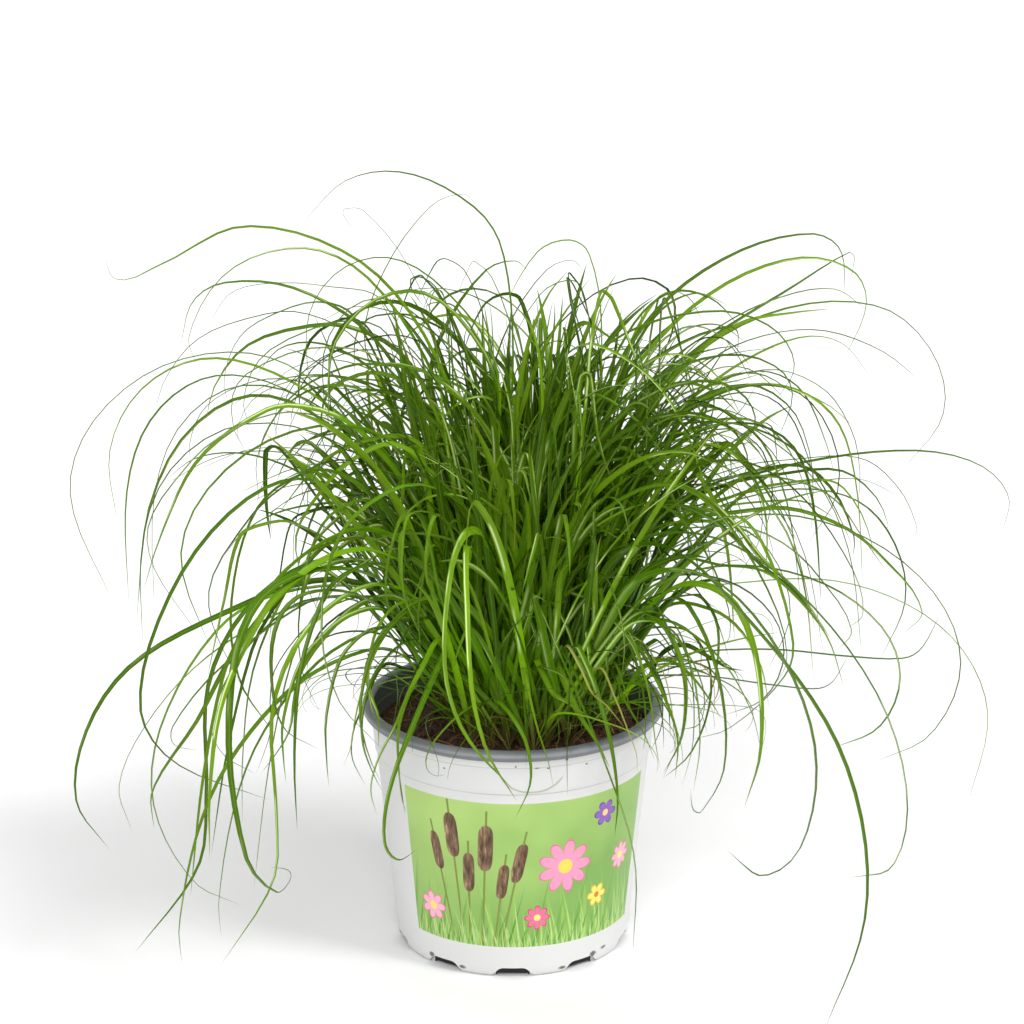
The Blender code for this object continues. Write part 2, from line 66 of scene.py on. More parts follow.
# Pot
FLOOR_UNDER = 3.5 * MM
FLOOR_TOP = 4.9 * MM
FOOT_RADIUS = 45.5 * MM
SHOULDER_RADIUS = 55.0 * MM
LIP_DEPTH = 4.0 * MM
NOTCHES = 10

# Bands of the wall, as heights in millimetres: the middle and the half width of each groove, the band
# where the tag rib stands, and where the grey of the lip begins
GROOVES = ((79.35, 0.32), (90.75, 0.30))
RIB_BAND = (79.9, 89.5)
LIP_BEGINS = (93.9, 94.2)

# Label, in millimetres round the wall and up it: the radius it is measured at, and its edges
LABEL_RADIUS = 51.0
LABEL_ACROSS = (-45.9, 62.2)
LABEL_UP = (13.3, 75.6)

# Soil and sheaths, as they stand in the CAD
SOIL_HEIGHT = 88.0 * MM
SHEATH_FOOT = 88.3 * MM
SHEATH_TOP = 100.3 * MM

# Tuft: where its shoots draw together at the soil and how far out they stand there, and the dome that its
# filling blades stay in
TUFT_MIDDLE = Vector((4 * MM, 0, SHEATH_FOOT))
TUFT_WAIST = 0.76
TUFT_RADIUS = 32 * MM
CROWN_MIDDLE = 120 * MM
CROWN_RISE = 153 * MM
CROWN_SPREAD = 162 * MM

# A filling blade is drawn up to ATTEMPTS times. It ends above LOWEST_TIP, doesn't hang below BARE_TOP within
# BARE_SPREAD, and leaves a window in front of the label open
ATTEMPTS = 40
LOWEST_TIP = 24 * MM
BARE_SPREAD = 110 * MM
BARE_TOP = 74 * MM
WINDOW_FRONT = -40 * MM
WINDOW_MIDDLE = 2 * MM
WINDOW_HALF = 50 * MM
WINDOW_TOP = 80 * MM

# Blades of the CAD that reach above THIN_ABOVE are shown thin, and lower ones in front of the tuft broad.
# Traced blades are shown wider than their rows say.
THIN_ABOVE = 285 * MM
BROAD_BELOW = 230 * MM
TRACED_WIDER = 1.1

# A blade starts below the soil and rises straight out of it. A bend of one radian takes as many of its
# rings as this many millimetres of its length.
ROOT_DEPTH = 2 * MM
STRAIGHT_RISE = 10 * MM
RADIAN_OF_RINGS = 25

# Stage
CAMERA_TARGET = Vector((-0.3 * MM, 0, 174.2 * MM))


# Settings


def colour_setting(name, description, default):
    """A setting that is a colour."""
    return FloatVectorProperty(name=name, description=description, subtype="COLOR", default=default)


def length_setting(name, description, default):
    """A setting that is a length in metres."""
    return FloatProperty(name=name, description=description, unit="LENGTH", subtype="DISTANCE", default=default)


class PotSettings(bpy.types.PropertyGroup):
    """Sizes and colours of the pot."""

    height: length_setting("Height", "From the foot to the top of the lip", 98 * MM)
    lip_radius: length_setting("Lip radius", "Outer radius of the rolled lip", 58.8 * MM)
    wall: length_setting("Wall", "Thickness of the pot's wall", 1.2 * MM)
    white: colour_setting("Outside", "Colour of the outer layer", (0.65, 0.65, 0.645))
    grey: colour_setting("Inside", "Colour of the inner layer, which shows on the lip", (0.152, 0.158, 0.170))
    label_top: colour_setting("Label, above", "Colour of the upper part of the print", (0.40, 0.58, 0.17))
    label_foot: colour_setting("Label, below", "Colour of the lower part of the print", (0.20, 0.38, 0.09))


class SoilSettings(bpy.types.PropertyGroup):
    """Size and colours of the potting soil."""

    lump: length_setting("Lumps", "How far the soil's surface rises and falls", 1.5 * MM)
    crumbs: IntProperty(name="Crumbs", description="How many loose crumbs lie on the soil", default=950)
    fibres: IntProperty(name="Fibres", description="How many root and coir fibres lie on the soil", default=300)
    dark: colour_setting("Dark", "Colour of the wet peat", (0.022, 0.010, 0.005))
    light: colour_setting("Light", "Colour of the dry crumbs", (0.130, 0.054, 0.024))
    fibre: colour_setting("Fibre", "Colour of the coir fibres", (0.36, 0.17, 0.075))


class TuftSettings(bpy.types.PropertyGroup):
    """Number, size and colours of the blades."""

    upright: IntProperty(name="Upright blades", description="Broad young blades in each shoot", default=5)
    arching: IntProperty(name="Arching blades", description="Thinner blades of each shoot, arching over", default=8)
    wisps: IntProperty(name="Wisps", description="Short thin blades about the foot of each shoot", default=2)
    strands: IntProperty(name="Strands", description="Dry root strands about the foot of each shoot", default=3)
    half_width: length_setting("Half width", "Half the width of the widest blades", 1.7 * MM)
    dark: colour_setting("Dark", "Colour of the darkest blades", (0.016, 0.058, 0.001))
    middle: colour_setting("Middle", "Colour of most blades", (0.078, 0.225, 0.001))
    bright: colour_setting("Bright", "Colour of the youngest blades", (0.250, 0.550, 0.002))
    outer: colour_setting("Outer part", "Colour that blades fade to towards their tips", (0.115, 0.165, 0.012))
    # A painted highlight: pale stripes laid on one side of some blades
    painted_highlight: colour_setting("Painted highlight", "Pale colour that lies on one side of some blades", (0.62, 0.77, 0.30))
    base: colour_setting("Base", "Colour of the sheaths near the soil", (0.30, 0.40, 0.06))
    dry: colour_setting("Dry", "Colour of dead blades and tips", (0.44, 0.37, 0.10))


class StageSettings(bpy.types.PropertyGroup):
    """Floor, light and camera."""

    floor: colour_setting("Floor", "Colour of the floor", (0.83, 0.83, 0.83))
    ambient: FloatProperty(name="Ambient light", description="Strength of the light from all round", default=0.74)
    key: FloatProperty(name="Key light", description="Strength of the light from above on the right", default=1.6)
    fill: FloatProperty(name="Fill light", description="Strength of the soft light from the front", default=1.35)
    lens: FloatProperty(name="Lens", description="Focal length of the camera in millimetres", default=110.0)
    distance: length_setting("Distance", "From the camera to the plant", 1.2)
    pitch: FloatProperty(name="Pitch", description="How far the camera looks down",
                         default=math.radians(17.38), unit="ROTATION", subtype="ANGLE")


# Modelling helpers


def compass(angle):
    """The level unit vector that points along an angle round the pot's axis."""
    return Vector((math.cos(math.radians(angle)), math.sin(math.radians(angle)), 0.0))


def upwards(height):
    """The upright vector of a height."""
    return Vector((0, 0, height))


def select_only(*pieces):
    """Selects these objects and nothing else, the first of them active."""
    bpy.ops.object.select_all(action="DESELECT")
    for piece in pieces:
        piece.select_set(True)
    bpy.context.view_layer.objects.active = pieces[0]


def named(name):
    """Names the active object and its mesh."""
    piece = bpy.context.active_object
    piece.name = name
    piece.data.name = name
    return piece


def apply_place(piece):
    """Puts a piece's place, turn and size into its mesh."""
    select_only(piece)
    bpy.ops.object.transform_apply(location=True, rotation=True, scale=True)


def smooth(piece, degrees):
    """Shades a piece smooth, apart from its edges that are sharper than an angle."""
    select_only(piece)
    bpy.ops.object.shade_smooth_by_angle(angle=math.radians(degrees))


def block(name, middle, size):
    """A box of a size at a place."""
    bpy.ops.object.select_all(action="DESELECT")
    bpy.ops.mesh.primitive_cube_add(size=1.0, location=middle)
    piece = named(name)
    piece.scale = size
    apply_place(piece)
    return piece


def ring_by_ring(name, outline, sides):
    """Draws a round piece up from a disc: each (radius, height) is one more extruded ring, the last filled."""
    radius, height = outline[0]
    bpy.ops.object.select_all(action="DESELECT")
    bpy.ops.mesh.primitive_circle_add(vertices=sides, radius=radius, location=(0, 0, height), fill_type="NGON")
    piece = named(name)
    apply_place(piece)
    bpy.ops.object.mode_set(mode="EDIT")
    bpy.ops.mesh.select_mode(type="EDGE")
    bpy.ops.mesh.select_all(action="SELECT")
    for next_radius, next_height in outline[1:]:
        bpy.ops.mesh.extrude_edges_move()
        grow = next_radius / radius
        bpy.ops.transform.resize(value=(grow, grow, 1.0), center_override=(0, 0, 0))
        bpy.ops.transform.translate(value=(0, 0, next_height - height))
        radius, height = next_radius, next_height
    bpy.ops.mesh.edge_face_add()
    bpy.ops.mesh.select_all(action="SELECT")
    bpy.ops.mesh.normals_make_consistent(inside=False)
    bpy.ops.object.mode_set(mode="OBJECT")
    return piece


def turned_copy(piece, angle):
    """A copy of a piece with its own mesh, turned about the pot's axis."""
    copy = piece.copy()
    copy.data = piece.data.copy()
    copy.data.transform(Matrix.Rotation(math.radians(angle), 4, "Z"))
    bpy.context.collection.objects.link(copy)
    return copy


def combine(piece, other, operation):
    """Cuts or joins another piece into this one, and deletes it."""
    change = piece.modifiers.new("combine", "BOOLEAN")
    change.operation = operation
    change.object = other
    change.solver = "EXACT"
    select_only(piece)
    bpy.ops.object.modifier_apply(modifier=change.name)
    bpy.data.objects.remove(other, do_unlink=True)


def set_values(mesh, values):
    """Gives a mesh's points named values: one number for all of them, or one each."""
    for key, column in values.items():
        column = np.broadcast_to(np.asarray(column, np.float32), len(mesh.vertices))
        mesh.attributes.new(key, "FLOAT", "POINT").data.foreach_set("value", np.ascontiguousarray(column))


def mesh_piece(name, points, faces, values, uvs=None):
    """Makes a piece from arrays, with named values at its points and a UV map from the points' own UVs."""
    mesh = bpy.data.meshes.new(name)
    mesh.from_pydata([tuple(point) for point in points], [], faces)
    set_values(mesh, values)
    if uvs is not None:
        corners = np.zeros(len(mesh.loops), np.int32)
        mesh.loops.foreach_get("vertex_index", corners)
        layer = mesh.uv_layers.new(name="UVMap")
        layer.data.foreach_set("uv", np.asarray(uvs, np.float32)[corners].ravel())
    piece = bpy.data.objects.new(name, mesh)
    bpy.context.collection.objects.link(piece)
    return piece


def hand_over(piece, look, slot, *nodes):
    """Gives a finished piece its material, hangs it on the root body and hides the CAD parts that it stands for."""
    piece.data.materials.clear()
    piece.data.materials.append(look)
    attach(piece, "root")
    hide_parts(*nodes)


# Material helpers


def arithmetic(operation, swapped=False):
    """A method of Value that adds one Math node."""
    def method(self, other):
        return self.graph.math(operation, *((other, self) if swapped else (self, other)))
    return method


class Value:
    """An output of a node. Arithmetic with it adds Math nodes."""

    def __init__(self, graph, socket):
        self.graph, self.socket = graph, socket

    __add__ = arithmetic("ADD")
    __sub__ = arithmetic("SUBTRACT")
    __rsub__ = arithmetic("SUBTRACT", swapped=True)
    __mul__ = arithmetic("MULTIPLY")
    __truediv__ = arithmetic("DIVIDE")
    __gt__ = arithmetic("GREATER_THAN")
    __lt__ = arithmetic("LESS_THAN")

    def __abs__(self):
        return self.graph.math("ABSOLUTE", self)

    def clamped(self):
        """The same, with its Math node kept between 0 and 1."""
        self.socket.node.use_clamp = True
        return self


class Graph:
    """Adds and joins the nodes of one node tree."""

    def __init__(self, tree):
        self.tree = tree

    def feed(self, socket, value):
        """Joins a value to an input, or sets the input."""
        if isinstance(value, Value):
            self.tree.links.new(value.socket, socket)
        elif isinstance(socket, bpy.types.NodeSocketColor):
            socket.default_value = (*value, 1.0)
        else:
            socket.default_value = value

    def node(self, kind, inputs, output=0, **settings):
        """Adds a node, feeds its inputs and gives one of its outputs, or all of them."""
        made = self.tree.nodes.new(kind)
        for name, value in settings.items():
            setattr(made, name, value)
        for key, value in inputs.items():
            self.feed(made.inputs[key], value)
        if output is None:
            return [Value(self, socket) for socket in made.outputs]
        return Value(self, made.outputs[output])

    def math(self, operation, *values):
        """A Math node's value."""
        return self.node("ShaderNodeMath", dict(enumerate(values)), operation=operation)

    def larger(self, first, second):
        """The larger of two values."""
        return self.math("MAXIMUM", first, second)

    def mix(self, share, first, second):
        """A mix of two colours."""
        return self.node("ShaderNodeMix", {"Factor": share, 6: first, 7: second}, 2, data_type="RGBA")

    def ramp(self, value, *stops):
        """A colour ramp's colour, from (position, colour) stops."""
        colour = self.node("ShaderNodeValToRGB", {"Fac": value})
        elements = colour.socket.node.color_ramp.elements
        while len(elements) < len(stops):
            elements.new(0.5)
        for element, (position, stop) in zip(elements, stops):
            element.position = position
            element.color = (*stop, 1.0)
        return colour

    def span(self, value, low, high, from_value=0.0, to_value=1.0, kind="SMOOTHSTEP"):
        """A value mapped from one range to another."""
        inputs = {"Value": value, "From Min": low, "From Max": high, "To Min": from_value, "To Max": to_value}
        return self.node("ShaderNodeMapRange", inputs, interpolation_type=kind)

    def fade(self, value, low, high):
        """1 up to a low value, and 0 from a high one on."""
        return 1.0 - self.span(value, low, high)

    def within(self, value, low, high, soft=0.3):
        """1 between two values and 0 outside them, with soft edges."""
        return self.span(value, low, low + soft) * self.fade(value, high - soft, high)

    def noise(self, vector, scale, detail=3.0, roughness=0.5):
        """A noise texture's value."""
        inputs = {"Vector": vector, "Scale": scale, "Detail": detail, "Roughness": roughness}
        return self.node("ShaderNodeTexNoise", inputs)

    def coordinates(self, name):
        """The texture coordinates of a kind."""
        return self.node("ShaderNodeTexCoord", {}, name)

    def split(self, vector):
        """A vector's X, Y and Z."""
        return self.node("ShaderNodeSeparateXYZ", {"Vector": vector}, None)

    def attribute(self, name):
        """A named value of the mesh."""
        return self.node("ShaderNodeAttribute", {}, "Fac", attribute_name=name)

    def group(self, tree, *inputs):
        """Places a node group with its own values, and gives its outputs by name."""
        made = self.node("ShaderNodeGroup", {}, None, node_tree=tree)[0].socket.node
        for socket, value in zip(made.inputs, inputs):
            self.feed(socket, value)
        return {socket.name: Value(self, socket) for socket in made.outputs}


def new_group(name, inputs, outputs):
    """Starts a node group: its graph, its inputs in order and the sockets that take its outputs."""
    tree = bpy.data.node_groups.new(name, "ShaderNodeTree")
    for key in inputs:
        kind = "NodeSocketVector" if key == "Vector" else "NodeSocketFloat"
        tree.interface.new_socket(key, in_out="INPUT", socket_type=kind)
    for key in outputs:
        tree.interface.new_socket(key, in_out="OUTPUT", socket_type="NodeSocketFloat")
    graph = Graph(tree)
    start, end = tree.nodes.new("NodeGroupInput"), tree.nodes.new("NodeGroupOutput")
    return graph, [Value(graph, start.outputs[key]) for key in inputs], end.inputs


def grain_group():
    """Fine grain and broad mottling of a surface, for plastic, peat and leaf alike."""
    graph, (vector, scale, depth), out = new_group("grain", ("Vector", "Scale", "Depth"), ("Mask", "Fine"))
    broad = graph.noise(vector, scale, 4.0, 0.6)
    fine = graph.noise(vector, scale * 9.0, 2.0, 0.5)
    spread = (broad * 0.7 + fine * 0.3 - 0.5) * depth
    graph.feed(out["Mask"], (spread + 0.5).clamped())
    graph.feed(out["Fine"], fine)
    return graph.tree


def printed_grass_group():
    """A row of printed grass: 1 inside the pointed blades, each as tall as its cell's random height."""
    graph, (u, v, foot, height, pitch, slant, shift), out = new_group(
        "printed_grass", ("U", "V", "Foot", "Height", "Pitch", "Slant", "Shift"), ("Mask", "Shade"))
    rise = v - foot
    cells = (u + rise * slant + shift) / pitch
    cell = graph.math("FLOOR", cells)
    chance = graph.node("ShaderNodeTexWhiteNoise", {"W": cell + shift}, "Color", noise_dimensions="1D")
    tall, lean, shade = graph.node("ShaderNodeSeparateColor", {"Color": chance}, None)
    share = rise / (height * (tall * 0.7 + 0.3))
    bend = share * share * ((lean - 0.5) * 0.75)
    narrow = (1.0 - share) * 0.17
    graph.feed(out["Mask"], ((narrow - abs(cells - cell - 0.5 - bend)) * 14.0).clamped())
    graph.feed(out["Shade"], shade)
    return graph.tree


def printed_flower_group():
    """A printed daisy: its petals, its outline and its heart."""
    graph, (u, v, across, up, radius, petals), out = new_group(
        "printed_flower", ("U", "V", "Across", "Up", "Radius", "Petals"), ("Petal", "Edge", "Heart"))
    right, above = u - across, v - up
    away = graph.math("SQRT", right * right + above * above)
    turn = graph.math("ARCTAN2", above, right) * (petals * 0.5)
    bulge = graph.math("POWER", abs(graph.math("COSINE", turn)), 0.6)
    inside = radius * (bulge * 0.55 + 0.45) - away
    graph.feed(out["Petal"], (inside * 5.0).clamped())
    graph.feed(out["Edge"], ((0.9 - inside) * 3.0).clamped())
    graph.feed(out["Heart"], ((radius * 0.27 - away) * 5.0).clamped())
    return graph.tree


def printed_reed_group():
    """A printed bulrush: its brown head and its thin stem."""
    graph, (u, v, across, up, half_width, half_height, lean), out = new_group(
        "printed_reed", ("U", "V", "Across", "Up", "Half width", "Half height", "Lean"),
        ("Head", "Stem", "Side"))
    above = v - up
    right = u - across - above * lean
    wide, along = right / half_width, above / half_height
    size = graph.math("POWER", abs(wide), 2.0) + graph.math("POWER", abs(along), 5.0)
    graph.feed(out["Head"], ((1.0 - size) * 6.0).clamped())
    graph.feed(out["Stem"], ((0.5 - abs(right)) * 6.0).clamped() * (along < 1.6))
    graph.feed(out["Side"], (wide * 0.5 + 0.5).clamped())
    return graph.tree


def stain_group():
    """A ragged spot of dirt at a place on the pot's wall."""
    graph, (u, v, rag, across, up, half_width, half_height), out = new_group(
        "stain", ("U", "V", "Rag", "Across", "Up", "Half width", "Half height"), ("Mask",))
    right = (u - across) / half_width
    above = (v - up) / half_height
    graph.feed(out["Mask"], ((1.0 - (right * right + above * above) - rag) * 2.5).clamped())
    return graph.tree


def new_material(name, specular=0.5):
    """A material with its graph and its Principled shader's inputs."""
    made = bpy.data.materials.new(name)
    made.use_nodes = True
    inputs = made.node_tree.nodes["Principled BSDF"].inputs
    inputs["Specular IOR Level"].default_value = specular
    return made, Graph(made.node_tree), inputs


def feed_shader(graph, inputs, colour, roughness, height, strength, distance):
    """Feeds a shader with its colour, its roughness and the bumps of a height."""
    bump = graph.node("ShaderNodeBump", {"Strength": strength, "Distance": distance, "Height": height})
    for key, value in (("Base Color", colour), ("Roughness", roughness), ("Normal", bump)):
        graph.feed(inputs[key], value)


# Finishes


PRINTED_GRASS = [
    # Foot, height, pitch, slant, shift, colour
    (12.0, 52.0, 10.2, 0.10, 3.0, (0.27, 0.46, 0.10)),
    (12.0, 46.0, 8.1, -0.16, 11.0, (0.16, 0.34, 0.06)),
    (12.0, 42.0, 6.6, 0.24, 23.0, (0.36, 0.56, 0.14)),
    (12.0, 34.0, 5.3, -0.30, 37.0, (0.10, 0.27, 0.04)),
    (12.0, 30.0, 4.7, 0.12, 51.0, (0.44, 0.60, 0.22)),
    (12.0, 27.0, 3.9, -0.10, 71.0, (0.16, 0.38, 0.05)),
    (12.0, 22.0, 3.1, 0.28, 93.0, (0.30, 0.50, 0.10)),
    (12.0, 17.0, 2.6, -0.22, 117.0, (0.09, 0.24, 0.03)),
    (12.0, 14.0, 2.3, 0.08, 143.0, (0.40, 0.58, 0.18)),
]
ROWS_BEHIND_REEDS = 4
PRINTED_REEDS = [
    # Across, up, half width, half height, lean
    (-31.0, 52.0, 2.3, 8.0, -0.16),
    (-24.0, 60.0, 2.9, 9.5, -0.07),
    (-17.5, 45.0, 2.5, 8.5, 0.02),
    (-10.5, 56.0, 3.1, 10.0, 0.05),
    (-4.0, 42.0, 2.3, 7.5, 0.13),
    (2.5, 50.0, 2.5, 8.5, 0.20),
]
PRINTED_FLOWERS = [
    # Across, up, radius, petals, petal colour, outline colour, heart colour
    (21.0, 47.0, 11.5, 9.0, (0.86, 0.30, 0.46), (0.62, 0.08, 0.24), (0.95, 0.62, 0.10)),
    (-35.0, 27.0, 6.5, 7.0, (0.88, 0.42, 0.54), (0.66, 0.10, 0.26), (0.95, 0.70, 0.16)),
    (38.0, 66.0, 5.5, 6.0, (0.27, 0.12, 0.48), (0.12, 0.04, 0.26), (0.90, 0.62, 0.20)),
    (37.0, 31.0, 5.0, 6.0, (0.92, 0.72, 0.14), (0.72, 0.42, 0.04), (0.60, 0.20, 0.05)),
    (10.0, 26.0, 5.5, 8.0, (0.84, 0.16, 0.30), (0.50, 0.03, 0.12), (0.95, 0.70, 0.20)),
    (50.0, 44.0, 6.0, 8.0, (0.88, 0.42, 0.54), (0.66, 0.10, 0.26), (0.95, 0.70, 0.16)),
]
STAINS = [
    # Across, up, half width, half height
    (-38.5, 4.2, 2.4, 1.7), (-22.5, 2.6, 2.4, 1.3), (22.0, 2.4, 2.8, 1.2), (38.0, 4.6, 3.2, 1.9),
    (44.5, 5.6, 2.8, 1.2), (1.0, 91.6, 0.6, 0.8), (8.5, 90.6, 1.6, 0.5), (12.5, 90.2, 0.8, 0.6),
    (19.0, 93.2, 0.9, 1.0), (-25.0, 88.2, 0.8, 0.6), (-5.0, 89.0, 0.6, 0.4), (27.0, 89.6, 0.7, 0.5),
]


def label_colour(graph, look, u, v, vector):
    """The print: grass, bulrushes and daisies on a ground that pales upwards."""
    reed, grass, flower = printed_reed_group(), printed_grass_group(), printed_flower_group()

    def with_grass(colour, rows, pale):
        """Lays rows of grass over a colour; pale is how much some of their blades are paled."""
        for *row, tint in rows:
            out = graph.group(grass, u, v, *row)
            colour = graph.mix(out["Mask"], colour, graph.mix(out["Shade"] * pale, tint, (0.56, 0.70, 0.32)))
        return colour

    rise = graph.span(v, 14.0, 76.0, kind="LINEAR")
    # A mottle, and painted shade that darkens the ground towards the right
    shaded = graph.noise(vector, 38.0, 2.0, 0.5) - graph.span(u, -15.0, 60.0, 0.45, 1.0, kind="LINEAR")
    colour = graph.mix((rise + shaded).clamped(), look.label_foot, look.label_top)
    stretched = graph.node("ShaderNodeMapping", {"Vector": vector, "Scale": (900, 900, 160)})
    streak = graph.noise(stretched, 1.0, 3.0, 0.6)
    fur = graph.ramp(streak, (0.32, (0.075, 0.040, 0.022)), (0.55, (0.25, 0.15, 0.085)),
                     (0.75, (0.56, 0.41, 0.26)))
    colour = with_grass(colour, PRINTED_GRASS[:ROWS_BEHIND_REEDS], 0.0)
    for row in PRINTED_REEDS:
        out = graph.group(reed, u, v, *row)
        colour = graph.mix(out["Stem"], colour, (0.20, 0.24, 0.05))
        colour = graph.mix(out["Head"], colour, graph.mix(out["Side"] * 0.55, fur, (0.055, 0.030, 0.018)))
    colour = with_grass(colour, PRINTED_GRASS[ROWS_BEHIND_REEDS:], 0.35)
    for *row, petal, outline, heart in PRINTED_FLOWERS:
        out = graph.group(flower, u, v, *row)
        tinted = graph.mix(out["Heart"], graph.mix(out["Edge"] * 0.8, petal, outline), heart)
        colour = graph.mix(out["Petal"], colour, tinted)
    return colour


def pot_finish(look, grain):
    """Two-layer plastic: white outside with its print, grey on the lip and inside, with specks of soil."""
    made, graph, inputs = new_material("pot_plastic", specular=0.25)
    vector = graph.coordinates("Object")
    x, y, z = graph.split(vector)
    u = graph.math("ARCTAN2", x, y * -1.0) * LABEL_RADIUS
    v = z / MM
    out_mm = graph.math("SQRT", x * x + y * y) / MM
    lip_mm = look.lip_radius / MM
    slope = (SHOULDER_RADIUS - FOOT_RADIUS) / (look.height - LIP_DEPTH)
    wall_here = v * slope + FOOT_RADIUS / MM
    outside = out_mm > wall_here - 0.55 * look.wall / MM
    wear = graph.group(grain, vector, 42.0, 1.6)

    # White layer with its print, and the grey one on the lip and inside
    white = graph.mix(wear["Mask"] * 0.10, look.white, (0.70, 0.70, 0.67))
    printed = graph.within(u, *LABEL_ACROSS) * graph.within(v, *LABEL_UP) * outside
    colour = graph.mix(printed, white, label_colour(graph, look, u, v, vector))
    grey = graph.mix(graph.noise(vector, 900.0, 1.0) * 0.25, look.grey, (0.30, 0.30, 0.31))
    # A painted highlight: a paler band along the outer edge of the rolled lip
    lip_highlight = graph.span(out_mm, lip_mm - 0.6, lip_mm - 0.15) * graph.span(v, 95.9, 96.3)
    grey = graph.mix(lip_highlight * 0.4, grey, (0.34, 0.35, 0.38))
    lip = graph.larger(1.0 - outside, graph.span(v, *LIP_BEGINS))
    colour = graph.mix(lip * (v > 4.0), colour, grey)

    # Painted shade in the two grooves, round the tag rib and under the foot
    groove = 0.0
    for height, half in GROOVES:
        groove = graph.larger(groove, graph.fade(abs(v - height), 0.3 * half, half))
    # Painted shade in the grooves, made uneven by the grain
    groove_shade = groove * graph.span(wear["Mask"], 0.1, 0.8, 0.25, 0.6)
    colour = graph.mix(groove_shade * outside, colour, (0.30, 0.30, 0.27))
    # Painted shade on the tag rib
    proud = graph.span(out_mm - wall_here, 0.58, 0.85) * ((v > RIB_BAND[0]) * (v < RIB_BAND[1]))
    colour = graph.mix(proud * 0.85, colour, (0.36, 0.41, 0.29))
    # Painted shade: near black under the floor, inside the foot ring
    colour = graph.mix((v < 4.05) * (out_mm < 43.1), colour, (0.02, 0.02, 0.02))

    # Smears and flecks of soil
    rag = graph.noise(vector, 700.0, 3.0, 0.7) * 0.95
    stain = stain_group()
    dirt = 0.0
    for row in STAINS:
        dirt = graph.larger(dirt, graph.group(stain, u, v, rag, *row)["Mask"])
    flecks = ((graph.noise(vector, 1500.0, 2.0, 0.6) - 0.725) * 30.0).clamped()
    dirt = graph.larger(dirt, flecks * graph.larger(graph.span(v, 84.0, 95.0), graph.fade(v, 0.5, 8.0)))
    colour = graph.mix(dirt * 0.85, colour, (0.075, 0.045, 0.028))
    gloss = wear["Mask"] * 0.12 + dirt * 0.4 + 0.30
    feed_shader(graph, inputs, colour, gloss, wear["Fine"], strength=0.12, distance=0.25 * MM)
    return made


def soil_finish(look, grain):
    """Peat with dry crumbs and coir: the mesh's own values say which part is which."""
    made, graph, inputs = new_material("peat_and_coir")
    rough = graph.group(grain, graph.coordinates("Object"), 260.0, 2.4)
    tint = graph.attribute("tint")
    peat = graph.mix(rough["Mask"], look.dark, look.light)
    colour = graph.mix(0.6, peat, graph.mix(tint, look.dark, look.light))
    colour = graph.mix(graph.attribute("fibre"), colour, graph.mix(tint, look.light, look.fibre))
    gloss = graph.span(rough["Fine"], 0.3, 0.7, 0.78, 0.96)
    feed_shader(graph, inputs, colour, gloss, rough["Mask"], strength=0.7, distance=0.6 * MM)
    return made


def leaf_finish(look, grain):
    """Sedge leaf: brown at its sheath, veined, with a paler midrib, patches of painted highlight and some dry tips.
    """
    made, graph, inputs = new_material("sedge_leaf", specular=0.08)
    vector = graph.coordinates("Object")
    across, along, _ = graph.split(graph.coordinates("UV"))
    tint, dry = graph.attribute("tint"), graph.attribute("dry")
    blotch = graph.group(grain, vector, 70.0, 1.4)

    # Green, worn towards the tip, with veins and a paler midrib that is partly its own colour and partly a painted
    # highlight
    shade = tint + (blotch["Mask"] - 0.5) * 0.35
    green = graph.ramp(shade, (0.05, look.dark), (0.5, look.middle), (0.95, look.bright))
    green = graph.mix(graph.span(along, 0.2, 0.75) * 0.7, green, graph.mix(shade, look.dark, look.outer))
    veins = graph.math("SINE", across * 62.0)
    green = graph.mix(veins * 0.08 + 0.08, green, look.bright)
    # Paler midrib: partly the leaf's own colour, partly a painted highlight
    green = graph.mix(graph.fade(abs(across - 0.5), 0.02, 0.11) * 0.30, green, look.base)

    # Painted highlight: pale patches beside the midrib, on the younger blades
    patch = graph.span(graph.noise(vector, 24.0, 2.0), 0.53, 0.60)
    highlight_stripes = patch * graph.fade(abs(across - 0.27), 0.07, 0.17) * graph.span(tint, 0.2, 0.7, 0.15, 0.88)
    green = graph.mix(highlight_stripes, green, look.painted_highlight)

    # Pale foot, brown sheath, and dry where the blade is dead or its tip is
    green = graph.mix(graph.fade(along, 0.02, 0.34) * 0.55, green, look.base)
    russet = graph.mix(tint, (0.085, 0.038, 0.016), (0.24, 0.22, 0.07))
    green = graph.mix(graph.fade(along, 0.03, 0.15) * 0.92, green, russet)
    tip = graph.span(along, 0.90, 1.0) * graph.span(tint, 0.55, 0.95)
    dead = graph.larger(dry, tip * 0.6)
    brown = blotch["Mask"] * graph.span(tint, 0.95, 1.3, 1.0, 0.15)
    green = graph.mix(dead, green, graph.mix(brown, look.dry, (0.20, 0.11, 0.045)))
    gloss = blotch["Fine"] * 0.14 + dead * 0.3 + 0.16
    feed_shader(graph, inputs, green, gloss, veins, strength=0.35, distance=0.08 * MM)
    return made


def floor_finish(look):
    """A plain pale floor."""
    made, _, inputs = new_material("studio_floor", specular=0.0)
    inputs["Base Color"].default_value = (*look.floor, 1.0)
    inputs["Roughness"].default_value = 0.9
    return made


# Pot


def wall_radius(height, look):
    """The pot's outer radius at a height, steps and lip aside."""
    return FOOT_RADIUS + (SHOULDER_RADIUS - FOOT_RADIUS) * height / (look.height - LIP_DEPTH)


def arc(centre, radius, start, end, steps):
    """Points on an arc of a section, from one angle to another."""
    angles = [math.radians(start + (end - start) * step / steps) for step in range(steps + 1)]
    return [(centre[0] + radius * math.cos(angle), centre[1] + radius * math.sin(angle)) for angle in angles]


